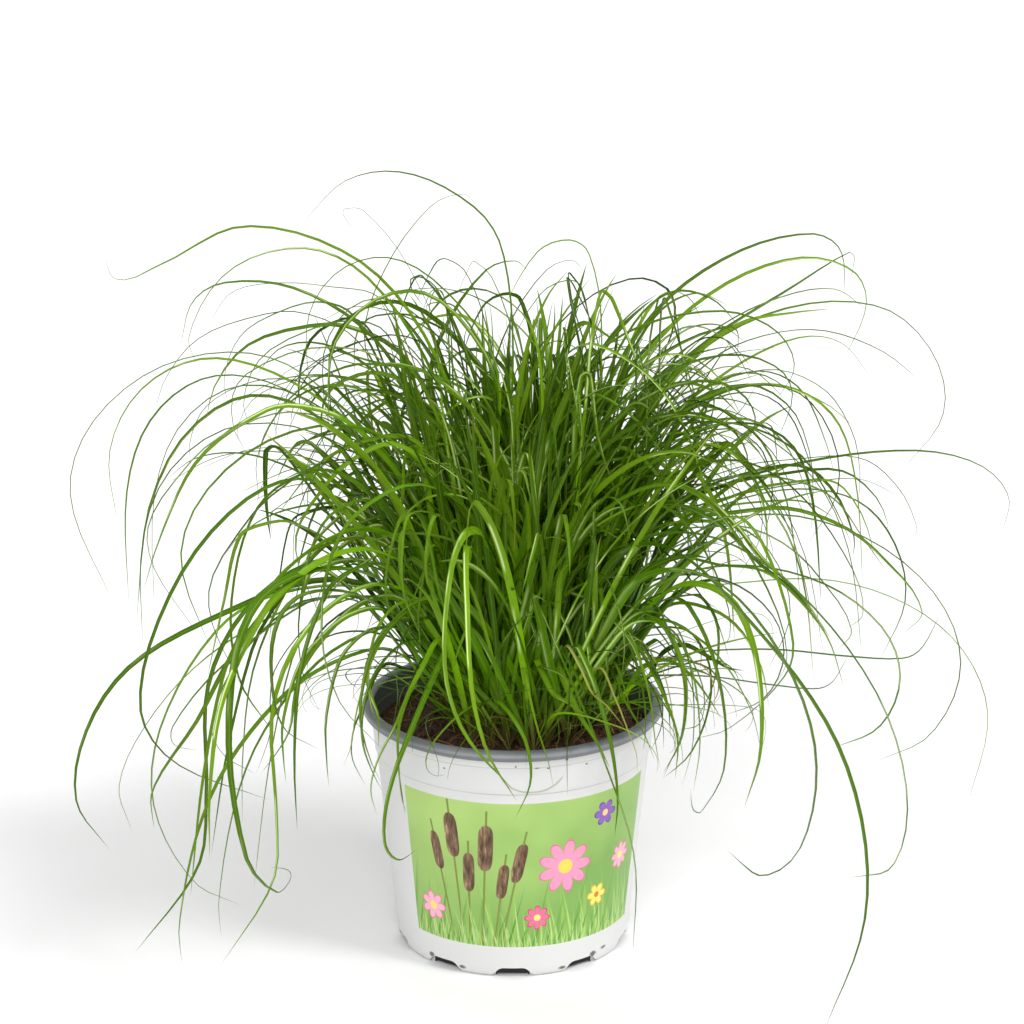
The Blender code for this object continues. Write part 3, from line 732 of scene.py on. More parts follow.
def pot_outline(look):
    """The pot's section from the pad under its floor, over the rolled lip, to its floor inside."""
    def wall(height, out=0.0):
        return (wall_radius(height * MM, look) + out * MM, height * MM)

    def inner(height, back=0.0):
        return wall_radius(height, look) - look.wall - back * MM

    pad = [(14.2 * MM, 0.0), (14.8 * MM, 0.2 * MM), (16.2 * MM, 3.2 * MM), (17.0 * MM, FLOOR_UNDER)]
    recess = [(37.5 * MM, FLOOR_UNDER), (38.2 * MM, 3.2 * MM), (39.4 * MM, 0.3 * MM), (39.9 * MM, 0.0)]
    corner = [(43.4 * MM, 0.0), (44.4 * MM, 0.2 * MM), (45.1 * MM, 0.8 * MM), wall(2.0), wall(5.0)]
    side = [wall(height) for height in (13.0, 30.0, 50.0, 66.0, 76.0, 78.9)]
    step = [wall(79.3, 0.05), wall(79.6, 0.35)] + [wall(height, 0.5) for height in (80.0, 82.0, 88.0, 90.3)]
    line = [wall(90.7, 0.6), wall(91.0, 0.85), wall(91.5, 1.0), wall(93.4, 1.0), wall(94.0, 1.3)]
    bead, edge = 2.0 * MM, 1.3 * MM
    lip_out = arc((look.lip_radius - bead, look.height - bead), bead, -75, 75, 12)
    lip_in = arc((inner(look.height) + edge, look.height - edge), edge, 100, 180, 6)
    inside = [(inner(height * MM), height * MM) for height in (93, 88, 60, 30, 10)]
    floor = [(inner(FLOOR_TOP, 1.6), FLOOR_TOP + 0.3 * MM), (inner(FLOOR_TOP, 3.0), FLOOR_TOP),
             (30 * MM, FLOOR_TOP), (2 * MM, FLOOR_TOP)]
    return pad + recess + corner + side + step + line + lip_out + lip_in + inside + floor


def notch_cutter():
    """A block with sloping sides and rounded upper edges, across the foot towards the camera."""
    top, foot, tall, deep, below = 10 * MM, 17 * MM, 4.1 * MM, 8 * MM, 1.0 * MM
    wide = foot + 2 * below
    cutter = block("notch_cutter", (0, -46.6 * MM, (tall - below) / 2), (wide, deep, tall + below))
    bpy.ops.object.mode_set(mode="EDIT")
    bpy.ops.mesh.select_all(action="DESELECT")
    bm = bmesh.from_edit_mesh(cutter.data)
    for face in bm.faces:
        face.select_set(face.normal.z > 0.9)
    bmesh.update_edit_mesh(cutter.data)
    bpy.ops.transform.resize(value=(top / wide, 1, 1), center_override=(0, 0, 0))
    bpy.ops.mesh.select_all(action="DESELECT")
    bm = bmesh.from_edit_mesh(cutter.data)
    for edge in bm.edges:
        middle = (edge.verts[0].co + edge.verts[1].co) / 2
        edge.select_set(middle.z > 0 and abs(edge.verts[0].co.x - edge.verts[1].co.x) < FLAT)
    bmesh.update_edit_mesh(cutter.data)
    bpy.ops.mesh.bevel(offset=1.4 * MM, segments=5)
    bpy.ops.object.mode_set(mode="OBJECT")
    return cutter


def seep_cutter():
    """A low block behind each notch, where water runs out from under the pot."""
    return block("seep_cutter", (0, -42 * MM, 0), (12 * MM, 12 * MM, 1.4 * MM))


def drain_cutter():
    """A round hole through the floor, half way between two notches."""
    bpy.ops.object.select_all(action="DESELECT")
    middle = compass(CAMERA_HEADING + 180 / NOTCHES) * 27 * MM
    bpy.ops.mesh.primitive_cylinder_add(vertices=32, radius=3.5 * MM, depth=7 * MM,
                                        location=(middle.x, middle.y, (FLOOR_UNDER + FLOOR_TOP) / 2))
    cutter = named("drain_cutter")
    apply_place(cutter)
    return cutter


def tag_rib(look):
    """The raised crescent on the front of the wall, where a tag can be pushed in."""
    curve = bpy.data.curves.new("tag_rib", "CURVE")
    curve.dimensions = "3D"
    curve.bevel_depth = 0.5 * MM
    curve.bevel_resolution = 3
    curve.use_fill_caps = True
    steps = 28
    ends, dip, half_length, middle = 88.3, 7.6, 12.6, CAMERA_HEADING + 8.0
    spline = curve.splines.new("POLY")
    spline.points.add(steps)
    for index in range(steps + 1):
        share = 2 * index / steps - 1
        height = (ends - dip * (1 - abs(share) ** 2.4) ** 0.8) * MM
        turn = math.radians(middle) + share * half_length * MM / wall_radius(height, look)
        out = wall_radius(height, look) + 0.38 * MM
        spline.points[index].co = (out * math.cos(turn), out * math.sin(turn), height, 1.0)
        spline.points[index].radius = min(1.0, 0.35 + 4 * (1 - abs(share)))
    rib = bpy.data.objects.new("tag_rib", curve)
    bpy.context.collection.objects.link(rib)
    select_only(rib)
    bpy.ops.object.convert(target="MESH")
    return bpy.context.active_object


def build_pot(look, grain):
    """The pot, in place of the CAD pot."""
    pot = ring_by_ring("nursery_pot", pot_outline(look), 192)
    combine(pot, tag_rib(look), "UNION")
    for cutter in (drain_cutter(), seep_cutter(), notch_cutter()):
        select_only(cutter, *[turned_copy(cutter, count * 360 / NOTCHES) for count in range(1, NOTCHES)])
        bpy.ops.object.join()
        combine(pot, cutter, "DIFFERENCE")
    smooth(pot, 32)
    hand_over(pot, pot_finish(look, grain), "white_plastic", "pot")


# Soil


def soil_height(x, y, look):
    """How high the soil's surface is at a place: lumps of several sizes."""
    broad = noise.noise(Vector((x, y, 0.3)) * 55)
    lumps = noise.fractal(Vector((x, y, 0.7)) * 210, 0.9, 2.1, 4)
    return SOIL_HEIGHT - 0.9 * MM + look.lump * (0.5 * broad + 0.55 * lumps)


def soil_bed(look, pot):
    """The root ball: it fills the pot, and its top is lumpy."""
    gap = 0.3 * MM
    rise = [(wall_radius(height * MM, pot) - pot.wall - gap, height * MM) for height in (5.2, 30, 60, 84)]
    rings = [(radius * MM, SOIL_HEIGHT) for radius in np.linspace(54, 1, 54)]
    bed = ring_by_ring("soil_bed", rise + rings, 160)
    for vertex in bed.data.vertices:
        if vertex.co.z > SOIL_HEIGHT - MM:
            vertex.co.z = soil_height(vertex.co.x, vertex.co.y, look)
    set_values(bed.data, {"tint": 0.4, "fibre": 0.0})
    return bed


def crumb_shape():
    """The points and faces of one angular crumb."""
    bm = bmesh.new()
    bmesh.ops.create_icosphere(bm, subdivisions=1, radius=1.0)
    points = np.array([vertex.co[:] for vertex in bm.verts])
    faces = np.array([[vertex.index for vertex in face.verts] for face in bm.faces])
    bm.free()
    return points, faces


def spot_on_soil(rng, reach):
    """A random place on the soil, within a reach in millimetres."""
    out = reach * MM * math.sqrt(rng.random())
    turn = rng.uniform(0, 2 * math.pi)
    return out * math.cos(turn), out * math.sin(turn)


def loose_crumbs(look, rng):
    """Crumbs of peat and bark, each turned and squashed its own way."""
    shape, sides = crumb_shape()
    points, faces, tints = [], [], []
    for index in range(look.crumbs):
        x, y = spot_on_soil(rng, 52.5)
        size = MM * (0.35 + 1.5 * rng.random() ** 3)
        rough = np.array([rng.uniform(0.6, 1.25) for _ in shape])[:, None]
        squash = np.array([rng.uniform(0.7, 1.4), rng.uniform(0.5, 1.0), rng.uniform(0.45, 0.9)])
        turn, tip = rng.uniform(0, math.tau), rng.uniform(0, 1.2)
        spin = np.array(Matrix.Rotation(turn, 3, "Z") @ Matrix.Rotation(tip, 3, "X"))
        placed = (shape * rough * squash * size) @ spin.T + (x, y, soil_height(x, y, look) + 0.35 * size)
        points.append(placed)
        faces.append(sides + index * len(shape))
        tints += [rng.random() ** 1.5] * len(shape)
    return mesh_piece("crumbs", np.vstack(points), np.vstack(faces).tolist(), {"tint": tints, "fibre": 0.0})


def loose_fibres(look, rng):
    """Thin three-sided fibres that lie over the soil and stand up a little."""
    steps, sides = 6, 3
    points, faces, tints = [], [], []
    for index in range(look.fibres):
        x, y = spot_on_soil(rng, 50)
        turn, bend = rng.uniform(0, math.tau), rng.uniform(-2.2, 2.2)
        length, thick = MM * rng.uniform(4, 15), MM * rng.uniform(0.10, 0.28)
        lift = MM * rng.uniform(0.0, 3.0)
        for step in range(steps + 1):
            share = step / steps
            way = turn + bend * share
            x += math.cos(way) * length / steps
            y += math.sin(way) * length / steps
            inward = min(1.0, 53 * MM / math.hypot(x, y))
            height = soil_height(x * inward, y * inward, look) + 0.3 * MM + lift * math.sin(math.pi * share)
            for corner in range(sides):
                angle = corner * math.tau / sides
                across = thick * math.cos(angle)
                points.append((x * inward - math.sin(way) * across, y * inward + math.cos(way) * across,
                               height + thick * math.sin(angle)))
        first = index * sides * (steps + 1)
        for step in range(steps):
            for corner in range(sides):
                low, beside = first + sides * step + corner, first + sides * step + (corner + 1) % sides
                faces.append((low, beside, beside + sides, low + sides))
        last = first + sides * steps
        faces += [(first + 2, first + 1, first), (last, last + 1, last + 2)]
        tints += [rng.random()] * sides * (steps + 1)
    return mesh_piece("fibres", points, faces, {"tint": tints, "fibre": 1.0})


def build_soil(look, pot, grain):
    """The potting soil with its crumbs and fibres, in place of the CAD soil."""
    rng = random.Random(SEED)
    bed, crumbs, fibres = soil_bed(look, pot), loose_crumbs(look, rng), loose_fibres(look, rng)
    smooth(bed, 60)
    smooth(fibres, 60)
    select_only(bed, crumbs, fibres)
    bpy.ops.object.join()
    hand_over(named("soil_and_crumbs"), soil_finish(look, grain), "peat", "potting_soil")


# Tuft


TRACED_BLADES = [
    # Heading, distance out of the foot, half width and tint, then (distance out, height) along the blade
    # Arching to the left
    (200, 14, 1.1, 0.75, (24, 141), (29, 182), (35, 202), (45, 209), (61, 208), (76, 202), (91, 186), (93, 181)),
    (188, 0, 0.9, 0.25, (3, 203), (16, 221), (31, 230), (48, 234), (63, 234), (84, 223), (97, 201), (97, 182)),
    (196, 26, 1.2, 0.65, (29, 158), (44, 191), (63, 214), (80, 222), (95, 222), (121, 205), (136, 177), (144, 154)),
    (204, 28, 0.9, 0.5, (30, 151), (48, 189), (68, 215), (89, 224), (109, 221), (128, 210), (146, 182), (127, 141)),
    (208, 30, 1.3, 0.6, (36, 144), (52, 179), (70, 198), (86, 202), (106, 191), (117, 158), (115, 126), (101, 101)),
    (212, 33, 1.4, 0.7, (52, 148), (75, 172), (96, 186), (108, 187), (117, 184), (124, 161), (128, 147), (132, 132)),
    (216, 34, 1.5, 0.6, (43, 163), (65, 179), (83, 179), (103, 170), (118, 155), (129, 138), (140, 97), (147, 52)),
    (222, 34, 1.5, 0.8, (47, 157), (68, 173), (87, 176), (106, 171), (121, 161), (140, 133), (147, 100), (148, 73)),
    (210, 36, 1.3, 0.45, (45, 150), (62, 164), (80, 166), (97, 159), (119, 138), (134, 115), (153, 91), (153, 75)),
    (202, 38, 1.0, 0.55, (46, 128), (60, 144), (74, 149), (90, 147), (111, 129), (122, 105), (118, 92), (105, 82)),
    (226, 38, 1.1, 0.5, (55, 133), (68, 151), (86, 154), (102, 148), (112, 140), (120, 121), (120, 107), (119, 97)),
    (218, 38, 1.0, 0.4, (49, 133), (63, 152), (79, 155), (94, 150), (110, 136), (113, 124), (113, 112), (120, 96)),
    (238, 38, 0.7, 0.5, (58, 120), (70, 124), (83, 112), (93, 104), (98, 94), (94, 82)),
    (236, 36, 1.2, 0.8, (39, 130), (49, 137), (60, 129), (69, 121), (75, 111), (76, 100), (74, 81), (71, 74)),
    (228, 36, 1.0, 0.35, (41, 125), (52, 136), (65, 136), (78, 127), (83, 115), (83, 103), (78, 90), (73, 81)),
    (206, 18, 1.3, 0.8, (27, 143), (34, 176), (39, 204), (44, 204), (46, 185), (51, 166), (58, 144), (63, 132)),
    (198, 30, 1.0, 0.55, (33, 142), (45, 175), (58, 185), (70, 178), (79, 169), (84, 156), (88, 142)),
    (192, 32, 0.9, 0.45, (34, 145), (48, 170), (63, 181), (78, 182), (93, 179), (105, 172), (112, 163)),
    (186, 20, 0.9, 0.5, (26, 172), (37, 204), (50, 220), (63, 226), (76, 225), (88, 217), (95, 206), (97, 194)),
    # Towards the camera
    (246, 24, 0.7, 0.6, (65, 159), (78, 190), (91, 199), (97, 186), (96, 171), (89, 160), (83, 151), (85, 146)),
    (300, 22, 0.8, 0.5, (13, 122), (12, 158), (15, 169), (22, 158), (32, 152), (42, 149)),
    (308, 32, 0.8, 0.6, (47, 120), (44, 151), (53, 163), (62, 155), (67, 141), (66, 128), (63, 116)),
    (330, 24, 1.1, 0.8, (21, 142), (26, 171), (34, 188), (43, 190), (55, 182), (63, 170), (67, 156), (65, 150)),
    # Over the rim on the right; a tint above 1 is a drying blade
    (312, 22, 1.1, 0.85, (49, 144), (61, 142), (70, 133), (76, 119), (79, 104), (82, 93)),
    (322, 22, 1.2, 0.8, (59, 144), (67, 145), (73, 142), (80, 130), (82, 117), (80, 100), (72, 84)),
    (318, 20, 0.6, 1.7, (62, 137), (68, 135), (71, 131), (75, 128), (78, 121), (80, 113), (81, 104), (82, 94)),
    (296, 20, 0.6, 1.6, (45, 134), (57, 130), (67, 123), (78, 122), (86, 120), (93, 118)),
    (306, 22, 0.5, 1.7, (55, 127), (65, 118), (74, 106), (78, 100), (79, 92)),
    # Arching to the right
    (340, 10, 1.2, 0.7, (13, 156), (14, 200), (13, 222), (20, 237), (33, 243), (58, 229), (74, 200), (79, 174)),
    (350, 4, 1.2, 0.85, (3, 155), (12, 188), (24, 200), (37, 205), (56, 208), (73, 211), (85, 217), (93, 230)),
    (338, 24, 1.3, 0.75, (36, 143), (46, 176), (59, 192), (77, 189), (90, 179), (101, 167), (115, 156), (129, 138)),
    (322, 32, 1.1, 0.55, (60, 151), (82, 179), (102, 192), (115, 183), (128, 152), (126, 137), (102, 110), (84, 101)),
    (318, 36, 1.1, 0.35, (57, 136), (64, 153), (71, 153), (79, 141), (86, 123), (85, 106), (76, 85)),
    (330, 38, 1.0, 0.7, (47, 106), (56, 120), (67, 126), (77, 122), (86, 113), (91, 106)),
    (328, 37, 0.9, 0.5, (48, 127), (65, 142), (82, 138), (95, 128), (105, 113), (109, 100)),
    (336, 34, 1.0, 0.5, (47, 145), (65, 164), (85, 164), (102, 164), (116, 155), (128, 141), (135, 122)),
    (12, 18, 1.3, 0.8, (34, 169), (50, 204), (69, 230), (89, 244), (108, 247), (127, 248)),
    (354, 34, 1.0, 0.45, (49, 157), (68, 173), (87, 177), (105, 179), (125, 173), (140, 162), (157, 140), (149, 129)),
    (344, 32, 1.2, 0.5, (46, 155), (65, 185), (84, 195), (107, 196), (124, 190), (136, 175), (146, 162)),
    (346, 22, 1.0, 0.4, (34, 158), (45, 202), (59, 219), (72, 223), (85, 217), (99, 206), (108, 191), (115, 176)),
    # Reaching up on the right
    (6, 20, 1.4, 0.6, (26, 150), (38, 196), (50, 226), (64, 243), (78, 246), (90, 238)),
    (14, 16, 1.3, 0.5, (22, 150), (34, 200), (46, 232), (58, 250), (72, 256), (86, 250)),
    (356, 26, 1.4, 0.7, (36, 150), (50, 194), (62, 220), (76, 232), (90, 232), (104, 220)),
    (350, 18, 1.2, 0.55, (24, 150), (38, 204), (52, 238), (66, 250), (80, 246), (92, 228)),
    (24, 12, 1.1, 0.65, (20, 160), (36, 214), (50, 242), (66, 254), (84, 250), (98, 236)),
    # At the back
    (168, 16, 0.8, 0.35, (44, 208), (62, 248), (75, 253), (92, 248), (107, 238), (114, 221), (112, 208)),
    (172, 20, 0.7, 0.5, (43, 205), (59, 239), (81, 250), (102, 247), (122, 238), (135, 222), (140, 207)),
    (166, 22, 0.8, 0.4, (45, 188), (76, 217), (91, 221), (107, 218), (123, 208), (130, 194), (130, 182)),
    (164, 12, 0.6, 0.6, (35, 216), (52, 254), (72, 258), (95, 258), (113, 253), (123, 239)),
    (18, 18, 0.9, 0.45, (56, 202), (81, 228), (103, 236), (127, 236), (152, 226), (170, 212)),
    (8, 20, 0.8, 0.55, (49, 197), (68, 217), (98, 227), (120, 219), (132, 202), (136, 186), (136, 170)),
    (22, 14, 0.7, 0.4, (44, 202), (61, 224), (80, 236), (106, 247), (135, 250), (152, 239)),
    (4, 24, 0.8, 0.6, (53, 174), (86, 190), (108, 193), (134, 193), (149, 181), (157, 165), (156, 159)),
    (30, 16, 0.7, 0.5, (57, 195), (85, 211), (113, 215), (133, 205), (146, 182), (152, 164)),
    # Fanning out on the left flank
    (190, 30, 1.3, 0.5, (42, 119), (48, 127), (57, 142), (67, 154), (76, 159), (84, 155)),
    (196, 26, 1.6, 0.6, (45, 135), (58, 156), (66, 173), (73, 191), (83, 201), (95, 203)),
    (184, 26, 1.7, 0.7, (40, 138), (47, 158), (54, 174), (60, 192), (69, 204), (80, 208)),
    (200, 24, 1.5, 0.5, (47, 144), (55, 167), (64, 186), (73, 195), (82, 199), (92, 196)),
    (176, 24, 1.6, 0.75, (38, 146), (44, 170), (51, 190), (58, 206), (66, 215), (76, 219)),
    # Over the rim in front
    (296, 4, 1.9, 0.7, (-1, 122), (1, 145), (8, 152), (19, 143), (36, 128), (55, 112), (71, 105), (82, 98)),
    (304, 22, 1.3, 0.6, (32, 112), (34, 128), (40, 130), (50, 123), (60, 113), (65, 100)),
    # Folded over at the top
    (350, 22, 1.6, 0.45, (49, 142), (54, 194), (56, 221), (56, 244), (57, 260), (59, 256), (67, 231), (74, 210)),
    (20, 10, 1.5, 0.35, (19, 153), (31, 200), (31, 220), (26, 244), (22, 264), (24, 262), (34, 240), (36, 221)),
    (175, 14, 1.6, 0.6, (18, 154), (22, 194), (24, 226), (25, 253), (28, 261), (31, 257), (32, 245)),
    (178, 18, 1.8, 0.65, (20, 138), (28, 179), (34, 210), (41, 238), (47, 252)),
    (20, 2, 1.5, 0.8, (-3, 155), (0, 203), (6, 239), (14, 258), (23, 268)),
    (10, 16, 1.7, 0.8, (19, 138), (25, 186), (28, 209), (30, 233), (33, 250)),
    # Upright in the middle
    (30, 2, 1.7, 0.8, (-6, 156), (0, 203), (10, 231), (21, 248), (29, 257), (35, 263)),
    (350, 22, 1.5, 0.7, (26, 140), (26, 180), (28, 212), (29, 236), (33, 255), (35, 260)),
    (178, 26, 1.7, 0.6, (24, 138), (34, 187), (41, 226), (44, 249), (47, 261)),
    (190, 28, 1.5, 0.5, (26, 140), (34, 189), (41, 221), (46, 240), (49, 251)),
    (170, 4, 1.5, 0.6, (3, 138), (5, 199), (7, 230), (8, 249), (9, 257)),
    (30, 8, 1.5, 0.55, (8, 137), (8, 198), (10, 233), (11, 250), (10, 258)),
    (10, 12, 1.4, 0.6, (11, 138), (12, 198), (14, 230), (16, 249), (16, 257)),
    (20, 24, 1.4, 0.6, (32, 135), (38, 191), (44, 218), (50, 238), (54, 253)),
]


def read_shoot(node):
    """Reads a CAD shoot: its foot and, for each blade, its knots from below the foot to the tip and half width."""
    bm = bmesh.new()
    bm.from_mesh(node.data)
    bmesh.ops.remove_doubles(bm, verts=bm.verts, dist=1e-6)
    rim = [vertex.co for vertex in bm.verts if abs(vertex.co.z - SHEATH_FOOT) < FLAT]
    foot = sum(rim, Vector()) / len(rim)
    tips = [vertex for vertex in bm.verts if len(vertex.link_faces) == 3
            and min(abs(vertex.co.z - end) for end in (SHEATH_FOOT, SHEATH_TOP)) > FLAT]
    blades = []
    for tip in sorted(tips, key=lambda vertex: tuple(round(value, 5) for value in vertex.co)):
        knots, widest, seen, ring = [tip.co.copy()], 0.0, {tip}, {tip}
        while True:
            ring = {edge.other_vert(vertex) for vertex in ring for edge in vertex.link_edges} - seen
            seen |= ring
            corners = sorted((vertex.co.copy() for vertex in ring), key=lambda place: tuple(place))
            if any(abs(corner.z - SHEATH_TOP) < FLAT for corner in corners):
                break
            pairs = [(corners[0], corners[1]), (corners[1], corners[2]), (corners[2], corners[0])]
            left, right = max(pairs, key=lambda pair: (pair[0] - pair[1]).length)
            widest = max(widest, (left - right).length / 2)
            knots.append((left + right) / 2)
        knots += [sum(corners, Vector()) / len(corners), foot - upwards(ROOT_DEPTH)]
        blades.append((knots[::-1], widest))
    bm.free()
    return foot, blades


def smooth_line(knots):
    """Points of a smooth line through the knots, each span a Bezier curve led by its neighbours."""
    points = []
    for index in range(len(knots) - 1):
        here, there = knots[index], knots[index + 1]
        before = knots[max(index - 1, 0)]
        after = knots[min(index + 2, len(knots) - 1)]
        reach = (there - here).length / 3
        leave = here + (there - before).normalized() * reach
        arrive = there - (after - here).normalized() * reach
        points += interpolate_bezier(here, leave, arrive, there, 13)[:-1]
    return np.array([tuple(point) for point in points + [knots[-1]]])


def line_from(foot, knots):
    """A smooth line that rises straight out of the soil at a shoot's foot, and goes on through the knots."""
    return smooth_line([foot - upwards(ROOT_DEPTH), foot + upwards(STRAIGHT_RISE)] + knots)


def traced_line(foot, heading, waypoints):
    """The line of a blade that was measured: it leaves its shoot and passes through (distance out, height)."""
    out = compass(heading)
    return line_from(foot, [out * distance * MM + upwards(height * MM) for distance, height in waypoints])


def arching_line(start, heading, lean, droop, bend, length, sweep, swing, curl=0.0, fold=0.0, fold_at=0.9):
    """The line of a blade that leans out, bends over and sweeps round, and may fold or curl at its tip."""
    steps, tail, crease = 60, 0.28, 0.05
    along = (np.arange(steps) + 0.5) / steps
    late = np.clip((along - (1 - tail)) / tail, 0, 1)
    folded = np.clip((along - fold_at) / crease, 0, 1)
    tilt = np.radians(lean + (droop - lean) * along**bend + curl * late**2 + fold * folded)
    turn = np.radians(heading + sweep * along**1.5 + swing * late)
    ways = np.stack([np.sin(tilt) * np.cos(turn), np.sin(tilt) * np.sin(turn), np.cos(tilt)], axis=1)
    return np.vstack([start, start + np.cumsum(ways, axis=0) * length * MM / steps])


def ring_places(line, count):
    """Spaces a blade's rings along its line, closer where it bends: their places and shares of its length."""
    runs = np.diff(line, axis=0)
    lengths = np.linalg.norm(runs, axis=1)
    ways = runs / lengths[:, None]
    turns = np.arccos(np.clip(np.sum(ways[1:] * ways[:-1], axis=1), -1, 1))
    along = np.concatenate([[0], np.cumsum(lengths)])
    bends = np.concatenate([[0], turns]) * RADIAN_OF_RINGS * MM
    weight = np.concatenate([[0], np.cumsum(lengths + bends)])
    marks = np.interp(np.linspace(0, weight[-1], count + 1), weight, along)
    places = np.stack([np.interp(marks, along, line[:, axis]) for axis in range(3)], axis=1)
    return places, marks / along[-1]


def unit(vectors):
    """Vectors scaled to a length of one."""
    return vectors / np.linalg.norm(vectors, axis=-1, keepdims=True)


class Sward:
    """Gathers the blades of one shoot into arrays for one mesh."""

    def __init__(self):
        self.points, self.faces, self.uvs, self.tints, self.dries = [], [], [], [], []

    def add(self, line, half, rng, tint, dry=0.0, rings=28, taper=3.2):
        """Adds a blade: a folded strip with a keel, narrow at its foot and pointed, that twists as it goes."""
        places, shares = ring_places(line, rings)
        ways = unit(np.gradient(places, axis=0))
        side = np.cross((0, 0, 1), ways[min(4, rings)])
        if np.linalg.norm(side) < 0.05:
            side = -np.array([math.cos(tint * 6), math.sin(tint * 6), 0.0])
        sides = np.zeros_like(places)
        for index, way in enumerate(ways):
            side = unit(side - way * np.dot(side, way))
            sides[index] = side
        lifts = np.cross(ways, sides)
        twist = math.radians(rng.uniform(-50, 50)) + math.radians(rng.uniform(-70, 70)) * shares
        cosine, sine = np.cos(twist)[:, None], np.sin(twist)[:, None]
        sides, lifts = sides * cosine + lifts * sine, lifts * cosine - sides * sine
        at_foot, widening, thinnest = 0.34, 2.6, 0.06 * MM
        width = half * np.minimum(1.0, at_foot + widening * shares) * (1.0 - shares**taper) ** 0.9
        width = np.maximum(width, thinnest)[:, None]
        keel, cup, fold = 0.10 * MM + 0.12 * width, 0.30 * width, 0.04 * width
        rails = np.stack([places - sides * width + lifts * cup, places + lifts * fold,
                          places + sides * width + lifts * cup, places - lifts * keel], axis=1)[:-1]
        across = (0.0, 0.5, 1.0, 0.5)
        base, size = len(self.points), len(across)
        tip, last = base + rings * size, base + (rings - 1) * size
        self.points += rails.reshape(-1, 3).tolist() + [places[-1].tolist()]
        self.uvs += [(u, share) for share in shares[:-1] for u in across] + [(0.5, 1.0)]
        for ring in range(base, last, size):
            for corner in range(size):
                low, beside = ring + corner, ring + (corner + 1) % size
                self.faces.append((low, low + size, beside + size, beside))
        self.faces += [(last + corner, tip, last + (corner + 1) % size) for corner in range(size)]
        self.faces.append(tuple(range(base, base + size)))
        self.tints += [tint] * (tip + 1 - base)
        self.dries += [dry] * (tip + 1 - base)

    def piece(self, name):
        """Makes the mesh, smooth over each face of a blade and sharp along its edges."""
        made = mesh_piece(name, self.points, self.faces, {"tint": self.tints, "dry": self.dries}, self.uvs)
        smooth(made, 75)
        return made


def keeps_clear(line, half, pot):
    """Whether a blade stays in the tuft's round crown, off the floor and the pot, and clear of the label."""
    x, y, z = line.T
    out = np.hypot(x, y)
    margin = half + 0.5 * MM
    hollow = wall_radius(SOIL_HEIGHT, pot) - pot.wall
    faults = {
        "outside the crown": (out / CROWN_SPREAD) ** 2 + (np.maximum(z - CROWN_MIDDLE, 0) / CROWN_RISE) ** 2 > 1,
        "near the floor": z[2:] < LOWEST_TIP,
        "in the pot": (z < pot.height + margin) & ~(out < hollow - margin) & ~(out > pot.lip_radius + margin),
        "in the soil": (z[8:] < SOIL_HEIGHT + 2 * MM) & (out[8:] < pot.lip_radius),
        "against the wall": (out > pot.lip_radius) & (out < BARE_SPREAD) & (z < BARE_TOP),
        "over the label": (y < WINDOW_FRONT) & (np.abs(x - WINDOW_MIDDLE) < WINDOW_HALF) & (z < WINDOW_TOP),
    }
    return not any(fault.any() for fault in faults.values())


def upright_line(rng, start, heading, outer):
    """A young blade: it stands nearly straight, and some fold over sharply near the tip."""
    left = max(0.0, -math.cos(math.radians(heading)))
    lean = rng.uniform(0, 6) + (32 + 12 * left) * outer * rng.uniform(0.4, 1.0)
    return arching_line(
        start, heading, lean=lean, droop=lean + rng.uniform(5, 70), bend=rng.uniform(2.4, 4.4),
        length=rng.uniform(115, 225) * (1.0 - 0.24 * outer), sweep=rng.uniform(-25, 25),
        swing=rng.uniform(-20, 20), fold=rng.choice((0, 0, 0, 0, rng.uniform(70, 140))),
        fold_at=rng.uniform(0.75, 0.9))


def curled(lean, droop, length, sweep, curl):
    """Gives a maker of short thin lines near the soil that bend and curl any way, within these ranges."""
    def curled_line(rng, start, heading, outer):
        return arching_line(
            start, heading, lean=rng.uniform(*lean), droop=rng.uniform(*droop), bend=rng.uniform(0.7, 1.6),
            length=rng.uniform(*length), sweep=rng.uniform(-sweep, sweep), swing=rng.uniform(-60, 60),
            curl=rng.uniform(0, curl))
    return curled_line


def kin_of(patterns):
    """Gives a maker of blades that follow a blade which grows near by, each with its own size, drift and turn."""
    near = 22 * MM

    def kin_line(rng, start, heading, outer):
        gaps = [math.dist(pattern[0][:2], start[:2]) for pattern in patterns]
        pattern = rng.choices(patterns, [math.exp(-(gap / near) ** 2) for gap in gaps])[0]
        size = rng.uniform(0.45, 1.0)
        size = np.array([size, size, size**0.4 * rng.uniform(0.92, 1.05)])
        along = np.linspace(0, 1, len(pattern))[:, None]
        drift, wave = (np.array([rng.gauss(0, 6) for _ in range(3)]) * MM for _ in range(2))
        line = (pattern - pattern[0]) * size + drift * along**2
        line = line + 0.5 * wave * np.sin(along * math.pi * rng.uniform(1.2, 2.4))
        turn = math.radians(rng.gauss(0, 11))
        return line @ np.array(Matrix.Rotation(turn, 3, "Z")).T + start
    return kin_line


def fill_blade(make_line, foot, rng, pot, half):
    """The line of one more blade of a shoot, drawn again and shorter until it keeps clear."""
    outer = math.hypot(foot.x, foot.y) / TUFT_RADIUS
    spread = 180 - 120 * outer
    for attempt in range(ATTEMPTS):
        heading = math.degrees(math.atan2(foot.y, foot.x)) + rng.uniform(-spread, spread)
        inside = compass(rng.uniform(0, 360)) * rng.uniform(0.1, 1.7) * MM
        start = np.array((foot.x + inside.x, foot.y + inside.y, SOIL_HEIGHT - 1.5 * MM))
        line = make_line(rng, start, heading, outer)
        line = start + (line - start) * (1 - attempt / (1.5 * ATTEMPTS))
        if keeps_clear(line, half, pot):
            return line
    return None


